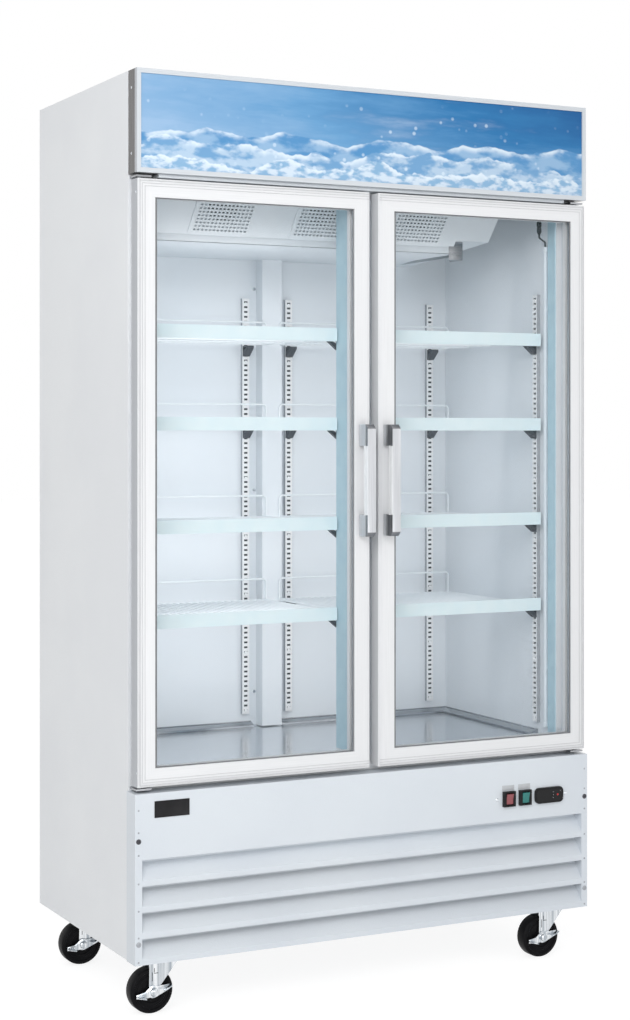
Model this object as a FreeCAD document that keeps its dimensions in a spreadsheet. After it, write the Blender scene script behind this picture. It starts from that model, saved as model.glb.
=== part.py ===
import FreeCAD, Part
import math
import os

import Sketcher
from FreeCAD import Placement, Rotation, Vector

# Document and driving dimensions, in millimetres and degrees

doc = FreeCAD.newDocument("DisplayFreezer")
sheet = doc.addObject("Spreadsheet::Sheet", "Sizes")

DIMENSIONS = {
    # Cabinet envelope
    "cabinet_width": 1196, "cabinet_depth": 649, "cabinet_height": 2100, "panel_bottom": 120,
    "skin": 1.2, "skin_flange": 18, "liner_sheet": 1.5, "side_wall": 53, "back_wall": 58,
    "top_wall": 70, "floor_wall": 60, "floor_rise": 21.5, "head_wall": 48, "frame_sheet": 2,
    "frame_skirt": 20, "opening_drop": 12, "column_width": 56, "column_depth": 38,
    "trim_edge": 12, "trim_height": 3, "seat_gap": 0.3, "running_gap": 0.05,
    "vent_count": 6, "vent_pitch": 30, "vent_width": 420, "vent_slot": 12, "vent_lift": 70,
    # Doors and hinges
    "door_depth": 38, "gasket_depth": 12, "door_gap": 24, "door_inset": 4, "door_lift": 13.5,
    "header_gap": 13, "door_border": 41, "rib_step": 1.3, "rib_pitch": 2.6, "rib_count": 3,
    "gasket_width": 18, "gasket_inset": 16, "pane": 4, "pane_recess": 6, "pane_space": 12,
    "pane_bite": 12, "spacer_width": 8, "pin_inset": 14, "pin_depth": 25, "pin_radius": 5,
    "pin_engagement": 18, "hinge_plate": 4, "hinge_gap": 4, "hinge_width": 36, "hinge_front": 10,
    # Handles
    "handle_projection": 47, "handle_width": 22, "handle_height": 260, "handle_rise": 542.5,
    "handle_grip": 11, "handle_leg": 50, "handle_chamfer": 10, "handle_slope": 13, "handle_inset": 10,
    # Header light box
    "header_height": 230, "header_border": 10.5, "header_inset": 1, "header_frame_depth": 12,
    "header_recess": 3, "header_pane": 3, "header_sheet": 1.2, "header_lamp_size": 16,
    # Mullion and jamb trims
    "mullion_width": 80, "mullion_depth": 70, "mullion_chamfer": 8, "trim_sheet": 2,
    "trim_depth": 32, "trim_setback": 3, "trim_margin": 12,
    # Shelving
    "standard_lift": 32, "standard_drop": 100, "standard_width": 20, "standard_depth": 10,
    "mullion_standard": 20, "standard_sheet": 2, "slot_width": 6, "slot_height": 24, "slot_pitch": 190,
    "rear_standard_near": 62, "standard_corner": 55, "side_standard_depth": 135, "shelf_lift": 347,
    "shelf_drop": 199, "second_shelf_shift": -6, "third_shelf_shift": 9,
    "rail_height": 31, "rail_depth": 14, "rail_sheet": 2,
    "shelf_front": 115, "shelf_back_gap": 14, "shelf_inner": 46, "shelf_outer_gap": 14,
    "wire": 4, "shelf_edge": 6, "wire_count": 6, "hoop_height": 57,
    "hoop_corner": 24, "clip_width": 16, "clip_reach": 30, "clip_height": 24, "clip_lip": 5,
    # Wall lamps
    "lamp_depth": 92, "lamp_lift": 23, "lamp_drop": 85, "lamp_radius": 7, "lamp_cap": 26,
    "lamp_cap_size": 18, "lamp_foot": 3, "lamp_foot_width": 6, "lead_width": 5, "plug_height": 14,
    "lead_rise": 40, "lead_bend": 8,
    # Evaporator
    "evap_left": 17, "evap_right": 115, "evap_head": 28, "evap_lip_depth": 200, "evap_lip": 18,
    "evap_drop": 103, "evap_sheet": 2, "grille_pitch": 263, "grille_width": 160, "grille_margin": 9,
    "grille_rise": 2.5, "hole_columns": 6, "hole_rows": 4, "hole_width": 13, "hole_height": 16,
    "fan_radius": 52, "fan_setback": 34, "fan_hub": 15, "fan_thickness": 16,
    "blade_count": 5, "blade_sheet": 3, "blade_root": 12, "blade_tip": 36, "blade_angle": 22,
    "shaft_radius": 3, "shaft_gap": 4, "motor_width": 44, "motor_length": 40, "motor_bracket": 3,
    "bracket_half": 78, "bracket_width": 20, "coil_setback": 85, "coil_back_gap": 31, "coil_lift": 48,
    "coil_gap": 40, "coil_margin": 45, "fin_count": 6, "fin_sheet": 2, "fin_proud": 8,
    # Base and louvred front
    "base_proud": 3, "base_top": 498, "base_sheet": 1.5, "base_flange": 24, "louvre_gap": 10,
    "louvre_pitch": 58, "louvre_head": 140, "louvre_recess": 28, "louvre_lip": 13, "post_width": 17,
    "deck_bottom": 130, "deck_sheet": 2, "deck_post": 40, "post_sheet": 3, "tongue_gap": 8,
    # Controls
    "control_drop": 91.5, "control_proud": 9, "bezel_width": 33, "bezel_height": 37, "power_inset": 231.5,
    "light_inset": 185.5, "rocker_width": 19, "rocker_height": 25, "rocker_clear": 2.6, "rocker_pin": 1.5,
    "rocker_pivot": 3, "rocker_high": 8.5, "rocker_middle": 5.2, "rocker_low": 4.2, "rocker_back": 3,
    "rocker_well": 7, "bezel_step": 4, "switch_depth": 24, "controller_inset": 117,
    "controller_width": 84, "controller_height": 38, "controller_depth": 52, "controller_margin": 5,
    "controller_proud": 6, "controller_bevel": 2,
    # Condensing unit
    "compressor_x": -250, "compressor_depth": 400, "compressor_radius": 88, "compressor_height": 190,
    "compressor_foot": 12, "condenser_x": 190,
    "condenser_width": 420, "condenser_front": 110, "condenser_depth": 60, "condenser_gap": 51,
    "shroud_depth": 30, "shroud_sheet": 2, "condenser_fan_radius": 90, "condenser_hub": 28,
    "condenser_blade_root": 24, "condenser_blade_tip": 62, "condenser_fan_thickness": 26, "fan_clear": 8,
    # Casters
    "caster_inset": 81, "caster_front": 50, "caster_rear_inset": 149, "caster_trail": 30,
    "wheel_radius": 51, "tread_width": 32, "dish_radius": 38, "wheel_hub": 15, "dish_depth": 3,
    "axle_radius": 5, "fork_gap": 2, "fork_sheet": 3, "fork_width": 46, "fork_foot": 26,
    "plate_size": 70, "plate_sheet": 3,
    "race_width": 44, "race_height": 5, "crown_width": 54, "crown_corner": 14, "crown_height": 4,
    "kingpin_radius": 6, "kingpin_length": 7, "pedal_sheet": 3, "pedal_radius": 15, "pedal_reach": 40,
    "pedal_flap": 16, "pedal_height": 18, "pedal_rise": 6, "nut_radius": 8, "nut_height": 6,
}


class Size:
    """A length held as sheet expression text, with its present value."""

    def __init__(self, text, value):
        self.text = text
        self.value = value

    def __add__(self, other):
        return Size(f"({self.text} + {text_of(other)})", self.value + number(other))

    def __sub__(self, other):
        return Size(f"({self.text} - {text_of(other)})", self.value - number(other))

    def __mul__(self, other):
        return Size(f"({self.text} * {text_of(other)})", self.value * number(other))

    def __truediv__(self, other):
        return Size(f"({self.text} / {text_of(other)})", self.value / number(other))

    def __neg__(self):
        return Size(f"(-1 * {self.text})", -self.value)


def number(item):
    return item.value if isinstance(item, Size) else float(item)


def text_of(item):
    return item.text if isinstance(item, Size) else repr(float(item))


class Sheet:
    """Writes each driving dimension to the sheet once and hands it out as a Size."""

    def __init__(self, dimensions):
        for row, (name, value) in enumerate(dimensions.items(), start=1):
            sheet.set(f"A{row}", name)
            sheet.set(f"B{row}", str(value))
            sheet.setAlias(f"B{row}", name)
            setattr(self, name, Size(f"Sizes.{name}", float(value)))


s = Sheet(DIMENSIONS)
zero = s.skin * 0
doc.recompute()

# Modelling helpers

NORMAL_SIGN = {"XY": 1, "XZ": -1, "YZ": 1}
BORE_SIDES = 12
HUB_SIDES = 10
DISH_SIDES = 16
nodes = {}


def node(label, obj):
    """Names a finished sub-part."""
    obj.Label = label
    nodes[label] = obj
    return obj


def bind(obj, **sizes):
    for name, size in sizes.items():
        obj.setExpression(name, text_of(size))


def place(obj, x, y, z):
    for axis, size in zip("xyz", (x, y, z)):
        obj.setExpression(f"Placement.Base.{axis}", text_of(size))


def block(x, y, z):
    """Box between the low and high ends of each axis."""
    box = doc.addObject("Part::Box", "Block")
    bind(box, Length=x[1] - x[0], Width=y[1] - y[0], Height=z[1] - z[0])
    place(box, x[0], y[0], z[0])
    return box


def rod(start, radius, length):
    """Upright cylinder that runs from its start point."""
    cylinder = doc.addObject("Part::Cylinder", "Rod")
    bind(cylinder, Radius=radius, Height=length)
    place(cylinder, *start)
    return cylinder


def side_span(side, inner, outer):
    """Low and high ends of a span on the left (-1) or right (1) of the centre plane."""
    return (inner, outer) if side > 0 else (-outer, -inner)


def rectangle(across, up):
    return [(across[0], up[0]), (across[1], up[0]), (across[1], up[1]), (across[0], up[1])]


def polygon(across, up, radius, sides=6):
    """Regular outline with its corners on a circle, for nuts, shafts and hubs."""
    turns = [math.tau * corner / sides for corner in range(sides)]
    return [(across + radius * math.cos(turn), up + radius * math.sin(turn)) for turn in turns]


def faceted_bore(across, up, shaft_radius):
    """Round hole drawn in flats, which clear a shaft of this radius by the running gap."""
    corner_radius = (shaft_radius + s.running_gap) / math.cos(math.pi / BORE_SIDES)
    return polygon(across, up, corner_radius, BORE_SIDES)


def octagon(width, corner):
    """Square about the origin with its corners cut off."""
    edge = width / 2
    flat = edge - corner
    return [
        (-edge, -flat), (-flat, -edge), (flat, -edge), (edge, -flat),
        (edge, flat), (flat, edge), (-flat, edge), (-edge, flat),
    ]


def inset(span, amount):
    return (span[0] + amount, span[1] - amount)


def fuse(*parts):
    joined = doc.addObject("Part::MultiFuse", "Join")
    joined.Shapes = list(parts)
    joined.Refine = True
    return joined


def cut(base, *tools):
    removed = doc.addObject("Part::Cut", "Cut")
    removed.Base = base
    removed.Tool = tools[0] if len(tools) == 1 else fuse(*tools)
    return removed


def group(*parts):
    collected = doc.addObject("Part::Compound", "Group")
    collected.Links = list(parts)
    return collected


def add_loop(sketch, points):
    """Closed polyline whose corners are all held by expressions."""
    first = sketch.GeometryCount
    count = len(points)
    corners = [Vector(number(a), number(b), 0) for a, b in points]
    lines = [Part.LineSegment(corners[i], corners[(i + 1) % count]) for i in range(count)]
    sketch.addGeometry(lines)
    for i in range(count):
        sketch.addConstraint(Sketcher.Constraint("Coincident", first + i, 2, first + (i + 1) % count, 1))
    for i, corner in enumerate(points):
        for kind, size in zip(("DistanceX", "DistanceY"), corner):
            held = sketch.addConstraint(Sketcher.Constraint(kind, -1, 1, first + i, 1, number(size)))
            sketch.setExpression(f"Constraints[{held}]", text_of(size))


def add_circle(sketch, across, up, radius):
    circle = Part.Circle(Vector(number(across), number(up), 0), Vector(0, 0, 1), number(radius))
    index = sketch.addGeometry(circle)
    held = sketch.addConstraint(Sketcher.Constraint("Radius", index, number(radius)))
    sketch.setExpression(f"Constraints[{held}]", text_of(radius))
    for kind, size in (("DistanceX", across), ("DistanceY", up)):
        held = sketch.addConstraint(Sketcher.Constraint(kind, -1, 1, index, 3, number(size)))
        sketch.setExpression(f"Constraints[{held}]", text_of(size))


def sketch_on(body, plane, loops, level):
    """Sketch on an origin plane, moved to its level along the plane's axis."""
    sketch = body.newObject("Sketcher::SketchObject", "Profile")
    support = [item for item in body.Origin.OriginFeatures if item.Role == f"{plane}_Plane"][0]
    sketch.AttachmentSupport = [(support, "")]
    sketch.MapMode = "FlatFace"
    bind(sketch, **{"AttachmentOffset.Base.z": level * NORMAL_SIGN[plane]})
    for loop in loops:
        if len(loop) == 3 and not isinstance(loop[0], tuple):
            add_circle(sketch, *loop)
        else:
            add_loop(sketch, loop)
    return sketch


def extrude(body, kind, plane, loops, span):
    start = span[1] if plane == "XZ" else span[0]
    feature = body.newObject(f"PartDesign::{kind}", kind)
    feature.Profile = sketch_on(body, plane, loops, start)
    feature.Reversed = kind == "Pocket"
    bind(feature, Length=span[1] - span[0])
    body.Tip = feature
    return feature


def pad(body, plane, loops, span):
    """Adds a prism between two levels. A loop is a list of corners or a circle (a, b, radius)."""
    return extrude(body, "Pad", plane, loops, span)


def pocket(body, plane, loops, span):
    """Removes a prism between two levels."""
    return extrude(body, "Pocket", plane, loops, span)


def prism(plane, loops, span):
    body = new_body()
    pad(body, plane, loops, span)
    return body


def new_body():
    return doc.addObject("PartDesign::Body", "Body")


def spread(body, feature, axis, pitch, count):
    """Repeats a feature along an origin axis."""
    pattern = body.newObject("PartDesign::LinearPattern", "Spread")
    pattern.Originals = [feature]
    direction = [item for item in body.Origin.OriginFeatures if item.Role == f"{axis}_Axis"][0]
    pattern.Direction = (direction, [""])
    bind(pattern, Length=pitch * (count - 1), Occurrences=count)
    body.Tip = pattern
    return pattern


def copy_of(source, x, y, z, turn=0):
    """Placed copy of a body that is modelled about its own origin."""
    body = new_body()
    base = body.newObject("PartDesign::FeatureBase", "Copy")
    base.BaseFeature = source
    body.Tip = base
    body.Placement.Rotation = Rotation(Vector(0, 0, 1), turn)
    place(body, x, y, z)
    return body


def tilt(body, angle):
    """Tips a body about X, its own Z axis turning towards the back."""
    body.Placement.Rotation = Rotation(Vector(-1, 0, 0), angle.value)
    bind(body, **{"Placement.Rotation.Angle": angle})


def whole(size):
    return Size(f"floor({size.text})", math.floor(size.value))


def root_of(size):
    return Size(f"sqrt({size.text})", math.sqrt(size.value))


def arctangent(size):
    return Size(f"atan({size.text})", math.degrees(math.atan(size.value)))


def centred(middle, width):
    return (middle - width / 2, middle + width / 2)


# Reference planes: x from the centre, y from the door faces, z from the floor

front = s.handle_projection - (s.cabinet_depth + s.handle_projection) / 2


def deep(depth):
    """Height of a plane behind the door faces, as a y coordinate."""
    return front + depth


half = s.cabinet_width / 2
inner_half = half - s.side_wall
base_half = half + s.base_proud
header_half = half - s.header_inset
body_front = deep(s.door_depth + s.gasket_depth)
skin_half = half - s.skin
frame_front = body_front + s.skin
frame_back = frame_front + s.frame_sheet
back = deep(s.cabinet_depth)
rear_sheet = (back - s.skin * 2, back - s.skin)
inner_back = back - s.back_wall
ceiling = s.cabinet_height - s.top_wall
under_top = s.cabinet_height - s.skin
header_bottom = s.cabinet_height - s.header_height
door_top = header_bottom - s.header_gap
door_bottom = s.base_top + s.door_lift
opening_top = door_top - s.opening_drop
floor_level = door_bottom + s.floor_rise
floor_under = floor_level - s.floor_wall
evap_top = opening_top + s.evap_head
evap_bottom = opening_top - s.evap_drop
evap_lip_top = evap_bottom + s.evap_lip
liner_half = inner_half + s.liner_sheet

# Outer skin: side panels with return flanges, top and rear sheets

for side, label in ((-1, "left_side_panel"), (1, "right_side_panel")):
    outer = half * side
    inner = skin_half * side
    lip = (half - s.skin_flange) * side
    profile = [
        (outer, body_front), (lip, body_front), (lip, frame_front), (inner, frame_front),
        (inner, rear_sheet[1]), (lip, rear_sheet[1]), (lip, back), (outer, back),
    ]
    node(label, prism("XY", [profile], (s.panel_bottom, s.cabinet_height)))

across = (-skin_half, skin_half)
node("top_panel", block(across, (frame_front, rear_sheet[0]), (under_top, s.cabinet_height)))
vent_low = s.panel_bottom + s.vent_lift
vents = [
    rectangle(centred(zero, s.vent_width), centred(vent_low + s.vent_pitch * row, s.vent_slot))
    for row in range(int(DIMENSIONS["vent_count"]))
]
rear_outline = rectangle(across, (s.panel_bottom, s.cabinet_height))
node("rear_panel", prism("XZ", [rear_outline, *vents], rear_sheet))

# Face frame that the doors close on

frame_span = (door_bottom - s.frame_skirt, under_top)
frame_loops = [
    rectangle(across, frame_span),
    rectangle((-inner_half, inner_half), (floor_level, opening_top)),
]
node("face_frame", prism("XZ", frame_loops, (frame_front, frame_back)))

# Foam between the skin and the liner

liner_across = (-liner_half, liner_half)
back_liner = inner_back + s.liner_sheet
head_back = frame_back + s.head_wall
foam = [
    block(side_span(side, liner_half, skin_half), (frame_back, rear_sheet[0]), (floor_under, under_top))
    for side in (-1, 1)
]
foam.append(block(liner_across, (back_liner, rear_sheet[0]), (floor_under, under_top)))
foam.append(block(liner_across, (frame_back, back_liner), (ceiling + s.liner_sheet, under_top)))
foam.append(block(liner_across, (frame_back, back_liner), (floor_under, floor_level - s.liner_sheet)))
foam.append(block((-inner_half, inner_half), (frame_back, head_back), (opening_top + s.liner_sheet, ceiling)))
node("foam_insulation", group(*foam))

# Inner liner: side walls, back wall with its duct column, ceiling and head wall

walls = [
    block(side_span(side, inner_half, liner_half), (frame_back, inner_back), (floor_level, ceiling))
    for side in (-1, 1)
]
liner_up = (floor_level - s.liner_sheet, ceiling + s.liner_sheet)
walls.append(block(liner_across, (inner_back, back_liner), liner_up))
column = (-(s.column_width / 2), s.column_width / 2)
column_up = (floor_level + s.trim_height, evap_bottom)
walls.append(block(column, (inner_back - s.column_depth, inner_back), column_up))
walls.append(block(liner_across, (frame_back, inner_back), (ceiling, ceiling + s.liner_sheet)))
head_profile = [
    (frame_back, opening_top), (head_back + s.liner_sheet, opening_top), (head_back + s.liner_sheet, ceiling),
    (head_back, ceiling), (head_back, opening_top + s.liner_sheet), (frame_back, opening_top + s.liner_sheet),
]
walls.append(prism("YZ", [head_profile], (-inner_half, inner_half)))
node("liner_walls", group(*walls))

# Stainless floor pan with a low upstand along its back and sides

pan = new_body()
pan_depth = (frame_back, inner_back)
pad(pan, "XY", [rectangle(liner_across, pan_depth)], (floor_level - s.liner_sheet, floor_level))
upstand = [
    (-inner_half, frame_back), (s.trim_edge - inner_half, frame_back),
    (s.trim_edge - inner_half, inner_back - s.trim_edge),
    (inner_half - s.trim_edge, inner_back - s.trim_edge),
    (inner_half - s.trim_edge, frame_back), (inner_half, frame_back), (inner_half, inner_back),
    (-inner_half, inner_back),
]
pad(pan, "XY", [upstand], (floor_level, floor_level + s.trim_height))
node("floor_pan", pan)

# Centre mullion and the pale trims beside each door opening

mullion_half = s.mullion_width / 2
mullion_back = frame_front + s.mullion_depth
nose = mullion_half - s.mullion_chamfer
mullion_profile = [
    (-mullion_half, frame_front), (mullion_half, frame_front),
    (mullion_half, mullion_back - s.mullion_chamfer),
    (nose, mullion_back), (-nose, mullion_back), (-mullion_half, mullion_back - s.mullion_chamfer),
]
node("centre_mullion", prism("XY", [mullion_profile], (floor_level, opening_top)))

trim_span = (floor_level + s.trim_margin, opening_top - s.trim_margin)
trim_start = frame_back + s.trim_setback
trims = []
for side in (-1, 1):
    on_mullion = (trim_start, mullion_back - s.mullion_chamfer)
    trims.append(block(side_span(side, mullion_half, mullion_half + s.trim_sheet), on_mullion, trim_span))
    on_wall = (trim_start, trim_start + s.trim_depth)
    trims.append(block(side_span(side, inner_half - s.trim_sheet, inner_half), on_wall, trim_span))
node("jamb_trims", group(*trims))

# Doors: ribbed frame, two panes, spacer, gasket and handle

door_outer = half - s.door_inset
door_inner = s.door_gap / 2
door_up = (door_bottom, door_top)
door_back = deep(s.door_depth)
rib_height = s.rib_step * s.rib_count
pin_x = door_outer - s.pin_inset
pin_y = deep(s.pin_depth)
pane_border = s.door_border - s.pane_bite
pane_front = deep(s.pane_recess)
pane_back = pane_front + s.pane * 2 + s.pane_space


def frame_ring(across, up, border, depths, body):
    hole = rectangle(inset(across, border), inset(up, border))
    return pad(body, "XZ", [rectangle(across, up), hole], depths)


for side, name in ((-1, "left"), (1, "right")):
    door_across = side_span(side, door_inner, door_outer)
    opening = (inset(door_across, s.door_border), inset(door_up, s.door_border))

    # Frame: three fine ribs step up along the outer edge, and a channel inside holds the panes
    frame = new_body()
    frame_ring(door_across, door_up, s.door_border, (deep(rib_height), door_back), frame)
    for rib in range(1, int(DIMENSIONS["rib_count"]) + 1):
        edge = s.rib_pitch * rib
        depths = (deep(rib_height - s.rib_step * rib), deep(rib_height - s.rib_step * (rib - 1)))
        frame_ring(inset(door_across, edge), inset(door_up, edge), s.door_border - edge, depths, frame)
    channel = rectangle(inset(door_across, pane_border), inset(door_up, pane_border))
    pocket(frame, "XZ", [channel], (pane_front, pane_back))
    for bore in ((door_bottom, door_bottom + s.pin_engagement), (door_top - s.pin_engagement, door_top)):
        pocket(frame, "XY", [faceted_bore(pin_x * side, pin_y, s.pin_radius)], bore)
    node(f"{name}_door_frame", frame)

    pane_across = inset(door_across, pane_border)
    pane_up = inset(door_up, pane_border)
    front_pane = block(pane_across, (pane_front, pane_front + s.pane), pane_up)
    back_pane = block(pane_across, (pane_back - s.pane, pane_back), pane_up)
    node(f"{name}_door_glass", group(front_pane, back_pane))
    spacer = new_body()
    frame_ring(pane_across, pane_up, s.spacer_width, (pane_front + s.pane, pane_back - s.pane), spacer)
    node(f"{name}_door_spacer", spacer)

    gasket = new_body()
    gasket_across = inset(door_across, s.gasket_inset)
    gasket_up = inset(door_up, s.gasket_inset)
    frame_ring(gasket_across, gasket_up, s.gasket_width, (door_back, frame_front - s.seat_gap), gasket)
    node(f"{name}_door_gasket", gasket)

    # Bow handle, mitred at its outer corners and sloped where the grip meets the legs
    low = door_bottom + s.handle_rise
    high = low + s.handle_height
    proud = deep(-s.handle_projection)
    grip = proud + s.handle_grip
    leg_back = grip + s.handle_slope
    shape = [
        (front, low), (proud + s.handle_chamfer, low), (proud, low + s.handle_chamfer),
        (proud, high - s.handle_chamfer), (proud + s.handle_chamfer, high), (front, high),
        (front, high - s.handle_leg), (leg_back, high - s.handle_leg),
        (grip, high - s.handle_leg - s.handle_slope), (grip, low + s.handle_leg + s.handle_slope),
        (leg_back, low + s.handle_leg), (front, low + s.handle_leg),
    ]
    handle_start = door_inner + s.handle_inset
    handle_span = side_span(side, handle_start, handle_start + s.handle_width)
    node(f"{name}_door_handle", prism("YZ", [shape], handle_span))

# Hinge brackets: a plate on the face frame with a pin into the door

brackets = []
for side in (-1, 1):
    plate_across = side_span(side, door_outer - s.hinge_width, door_outer)
    plate_depth = (deep(s.hinge_front), body_front)
    low_plate = (door_bottom - s.hinge_gap - s.hinge_plate, door_bottom - s.hinge_gap)
    high_plate = (door_top + s.hinge_gap, door_top + s.hinge_gap + s.hinge_plate)
    pin_length = s.hinge_gap + s.pin_engagement - s.seat_gap
    for plate_up, pin_start in ((low_plate, low_plate[1]), (high_plate, high_plate[0] - pin_length)):
        plate = block(plate_across, plate_depth, plate_up)
        pin_outline = polygon(pin_x * side, pin_y, s.pin_radius, BORE_SIDES)
        pin = prism("XY", [pin_outline], (pin_start, pin_start + pin_length))
        brackets.append(fuse(plate, pin))
node("hinge_brackets", group(*brackets))

# Header light box: open housing, front frame, translucent panel

header_across = (-header_half, header_half)
header_up = (header_bottom, s.cabinet_height)
header_mid = deep(s.header_frame_depth)
housing = new_body()
header_wall = inset(header_across, s.header_sheet)
pad(housing, "XZ", [rectangle(header_across, header_up)], (header_mid, body_front))
header_room = rectangle(header_wall, inset(header_up, s.header_sheet))
pocket(housing, "XZ", [header_room], (header_mid, body_front - s.header_sheet))
node("header_housing", housing)

header_frame = new_body()
frame_ring(header_across, header_up, s.header_border, (front, header_mid), header_frame)
panel_front = deep(s.header_recess)
panel_back = panel_front + s.header_pane
rebate = s.header_border - s.pane
header_rebate = rectangle(inset(header_across, rebate), inset(header_up, rebate))
pocket(header_frame, "XZ", [header_rebate], (panel_front, header_mid))
node("header_frame", header_frame)
panel_across = inset(header_across, rebate)
node("header_panel", block(panel_across, (panel_front, panel_back), inset(header_up, rebate)))

# Shelf standards: slotted channels on the back wall, the side walls and the mullion

across = centred(zero, s.standard_width)
web = (-s.standard_depth, s.standard_sheet - s.standard_depth)
flange = inset(across, s.standard_sheet)
channel = [
    (across[0], zero), (across[0], web[0]), (across[1], web[0]), (across[1], zero),
    (flange[1], zero), (flange[1], web[1]), (flange[0], web[1]), (flange[0], zero),
]
standard_low = floor_level + s.standard_lift
standard_height = evap_bottom - s.standard_drop - standard_low
standard = new_body()
pad(standard, "XY", [channel], (zero, standard_height))
slot = rectangle(centred(zero, s.slot_width), centred(s.slot_pitch / 2, s.slot_height))
first_slot = pocket(standard, "XZ", [slot], web)
spread(standard, first_slot, "Z", s.slot_pitch, whole(standard_height / s.slot_pitch))

rear_face = inner_back - s.standard_depth
rear_standard_far = inner_half - s.standard_corner
mullion_face = mullion_back + s.standard_depth
side_middle = deep(s.side_standard_depth)
standards = []
for side in (-1, 1):
    for offset in (s.rear_standard_near, rear_standard_far):
        standards.append(copy_of(standard, offset * side, inner_back, standard_low))
    standards.append(copy_of(standard, s.mullion_standard * side, mullion_back, standard_low, 180))
    standards.append(copy_of(standard, inner_half * side, side_middle, standard_low, -90 * side))
node("shelf_standards", group(*standards))

# Wire shelves, each with a raised wire hoop at the back, on clips and behind a price rail

shelf_depth = (deep(s.shelf_front), inner_back - s.shelf_back_gap)
rail_front = deep(s.shelf_front - s.rail_depth)
lowest_shelf = floor_level + s.shelf_lift
highest_shelf = evap_bottom - s.shelf_drop
shelf_pitch = (highest_shelf - lowest_shelf) / 3
second_shelf = lowest_shelf + shelf_pitch + s.second_shelf_shift
third_shelf = highest_shelf - shelf_pitch + s.third_shelf_shift
levels = (lowest_shelf, second_shelf, third_shelf, highest_shelf)
bay = (s.shelf_inner, inner_half - s.shelf_outer_gap)
bay_middle = (bay[0] + bay[1]) / 2
deck_across = centred(zero, bay[1] - bay[0])

# Deck: an edge frame with wires from front to back between its bars
deck = new_body()
wire_run = inset(shelf_depth, s.shelf_edge)
deck_hole = rectangle(inset(deck_across, s.shelf_edge), wire_run)
pad(deck, "XY", [rectangle(deck_across, shelf_depth), deck_hole], (-s.wire - s.shelf_edge, -s.wire))
wire_pitch = (deck_across[1] - deck_across[0]) / (s.wire_count + 1)
first_wire = rectangle(centred(deck_across[0] + wire_pitch, s.wire), wire_run)
wire = pad(deck, "XY", [first_wire], (s.wire * -2, -s.wire))
spread(deck, wire, "X", wire_pitch, s.wire_count)

# Hoop: a bent wire that stands on the deck's back edge
corner = s.hoop_corner
corner_inside = s.hoop_corner - s.wire * (2 - math.sqrt(2))
hoop_inner = inset(deck_across, s.wire)
hoop_top = s.hoop_height - s.wire
arch = [
    (deck_across[0], -s.wire), (deck_across[0], s.hoop_height - corner),
    (deck_across[0] + corner, s.hoop_height), (deck_across[1] - corner, s.hoop_height),
    (deck_across[1], s.hoop_height - corner), (deck_across[1], -s.wire), (hoop_inner[1], -s.wire),
    (hoop_inner[1], hoop_top - corner_inside), (hoop_inner[1] - corner_inside, hoop_top),
    (hoop_inner[0] + corner_inside, hoop_top), (hoop_inner[0], hoop_top - corner_inside),
    (hoop_inner[0], -s.wire),
]
hoop = prism("XZ", [arch], (shelf_depth[1] - s.wire, shelf_depth[1]))


def price_rail(across, level):
    """Label channel with a lip that meets the shelf's front wire."""
    back_of_face = rail_front + s.rail_sheet
    low = level - s.rail_height
    lip = level - s.wire
    section = [
        (rail_front, low), (shelf_depth[0], low), (shelf_depth[0], low + s.rail_sheet),
        (back_of_face, low + s.rail_sheet), (back_of_face, lip - s.rail_sheet),
        (shelf_depth[0], lip - s.rail_sheet), (shelf_depth[0], lip), (back_of_face, lip),
        (back_of_face, level), (rail_front, level),
    ]
    return prism("YZ", [section], across)


def clip(plane, root, reach, level, span):
    """Wedge under a shelf: deep at the standard and thin at its tip."""
    top = level - s.wire - s.shelf_edge
    wedge = [(root, top), (root + reach, top), (root + reach, top - s.clip_lip), (root, top - s.clip_height)]
    return prism(plane, [wedge], span)


clips = []
rails = []
for side, label in ((-1, "left_shelves"), (1, "right_shelves")):
    shelves = []
    for level in levels:
        shelves += [copy_of(piece, bay_middle * side, zero, level) for piece in (deck, hoop)]
        rails.append(price_rail(side_span(side, *bay), level))
        for offset in (s.rear_standard_near, rear_standard_far):
            clips.append(clip("YZ", rear_face, -s.clip_reach, level, centred(offset * side, s.clip_width)))
        wall_root = (inner_half - s.standard_depth) * side
        clips.append(clip("XZ", wall_root, s.clip_reach * -side, level, centred(side_middle, s.clip_width)))
        mullion_root = (s.mullion_standard + s.standard_width / 2) * side
        clips.append(clip("XZ", mullion_root, s.clip_reach * side, level, (mullion_back, mullion_face)))
    node(label, group(*shelves))
node("shelf_clips", group(*clips))
node("price_rails", group(*rails))

# Wall lamp tubes with end caps, the header's lamp, and a short lead from each tube to the wall

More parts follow.
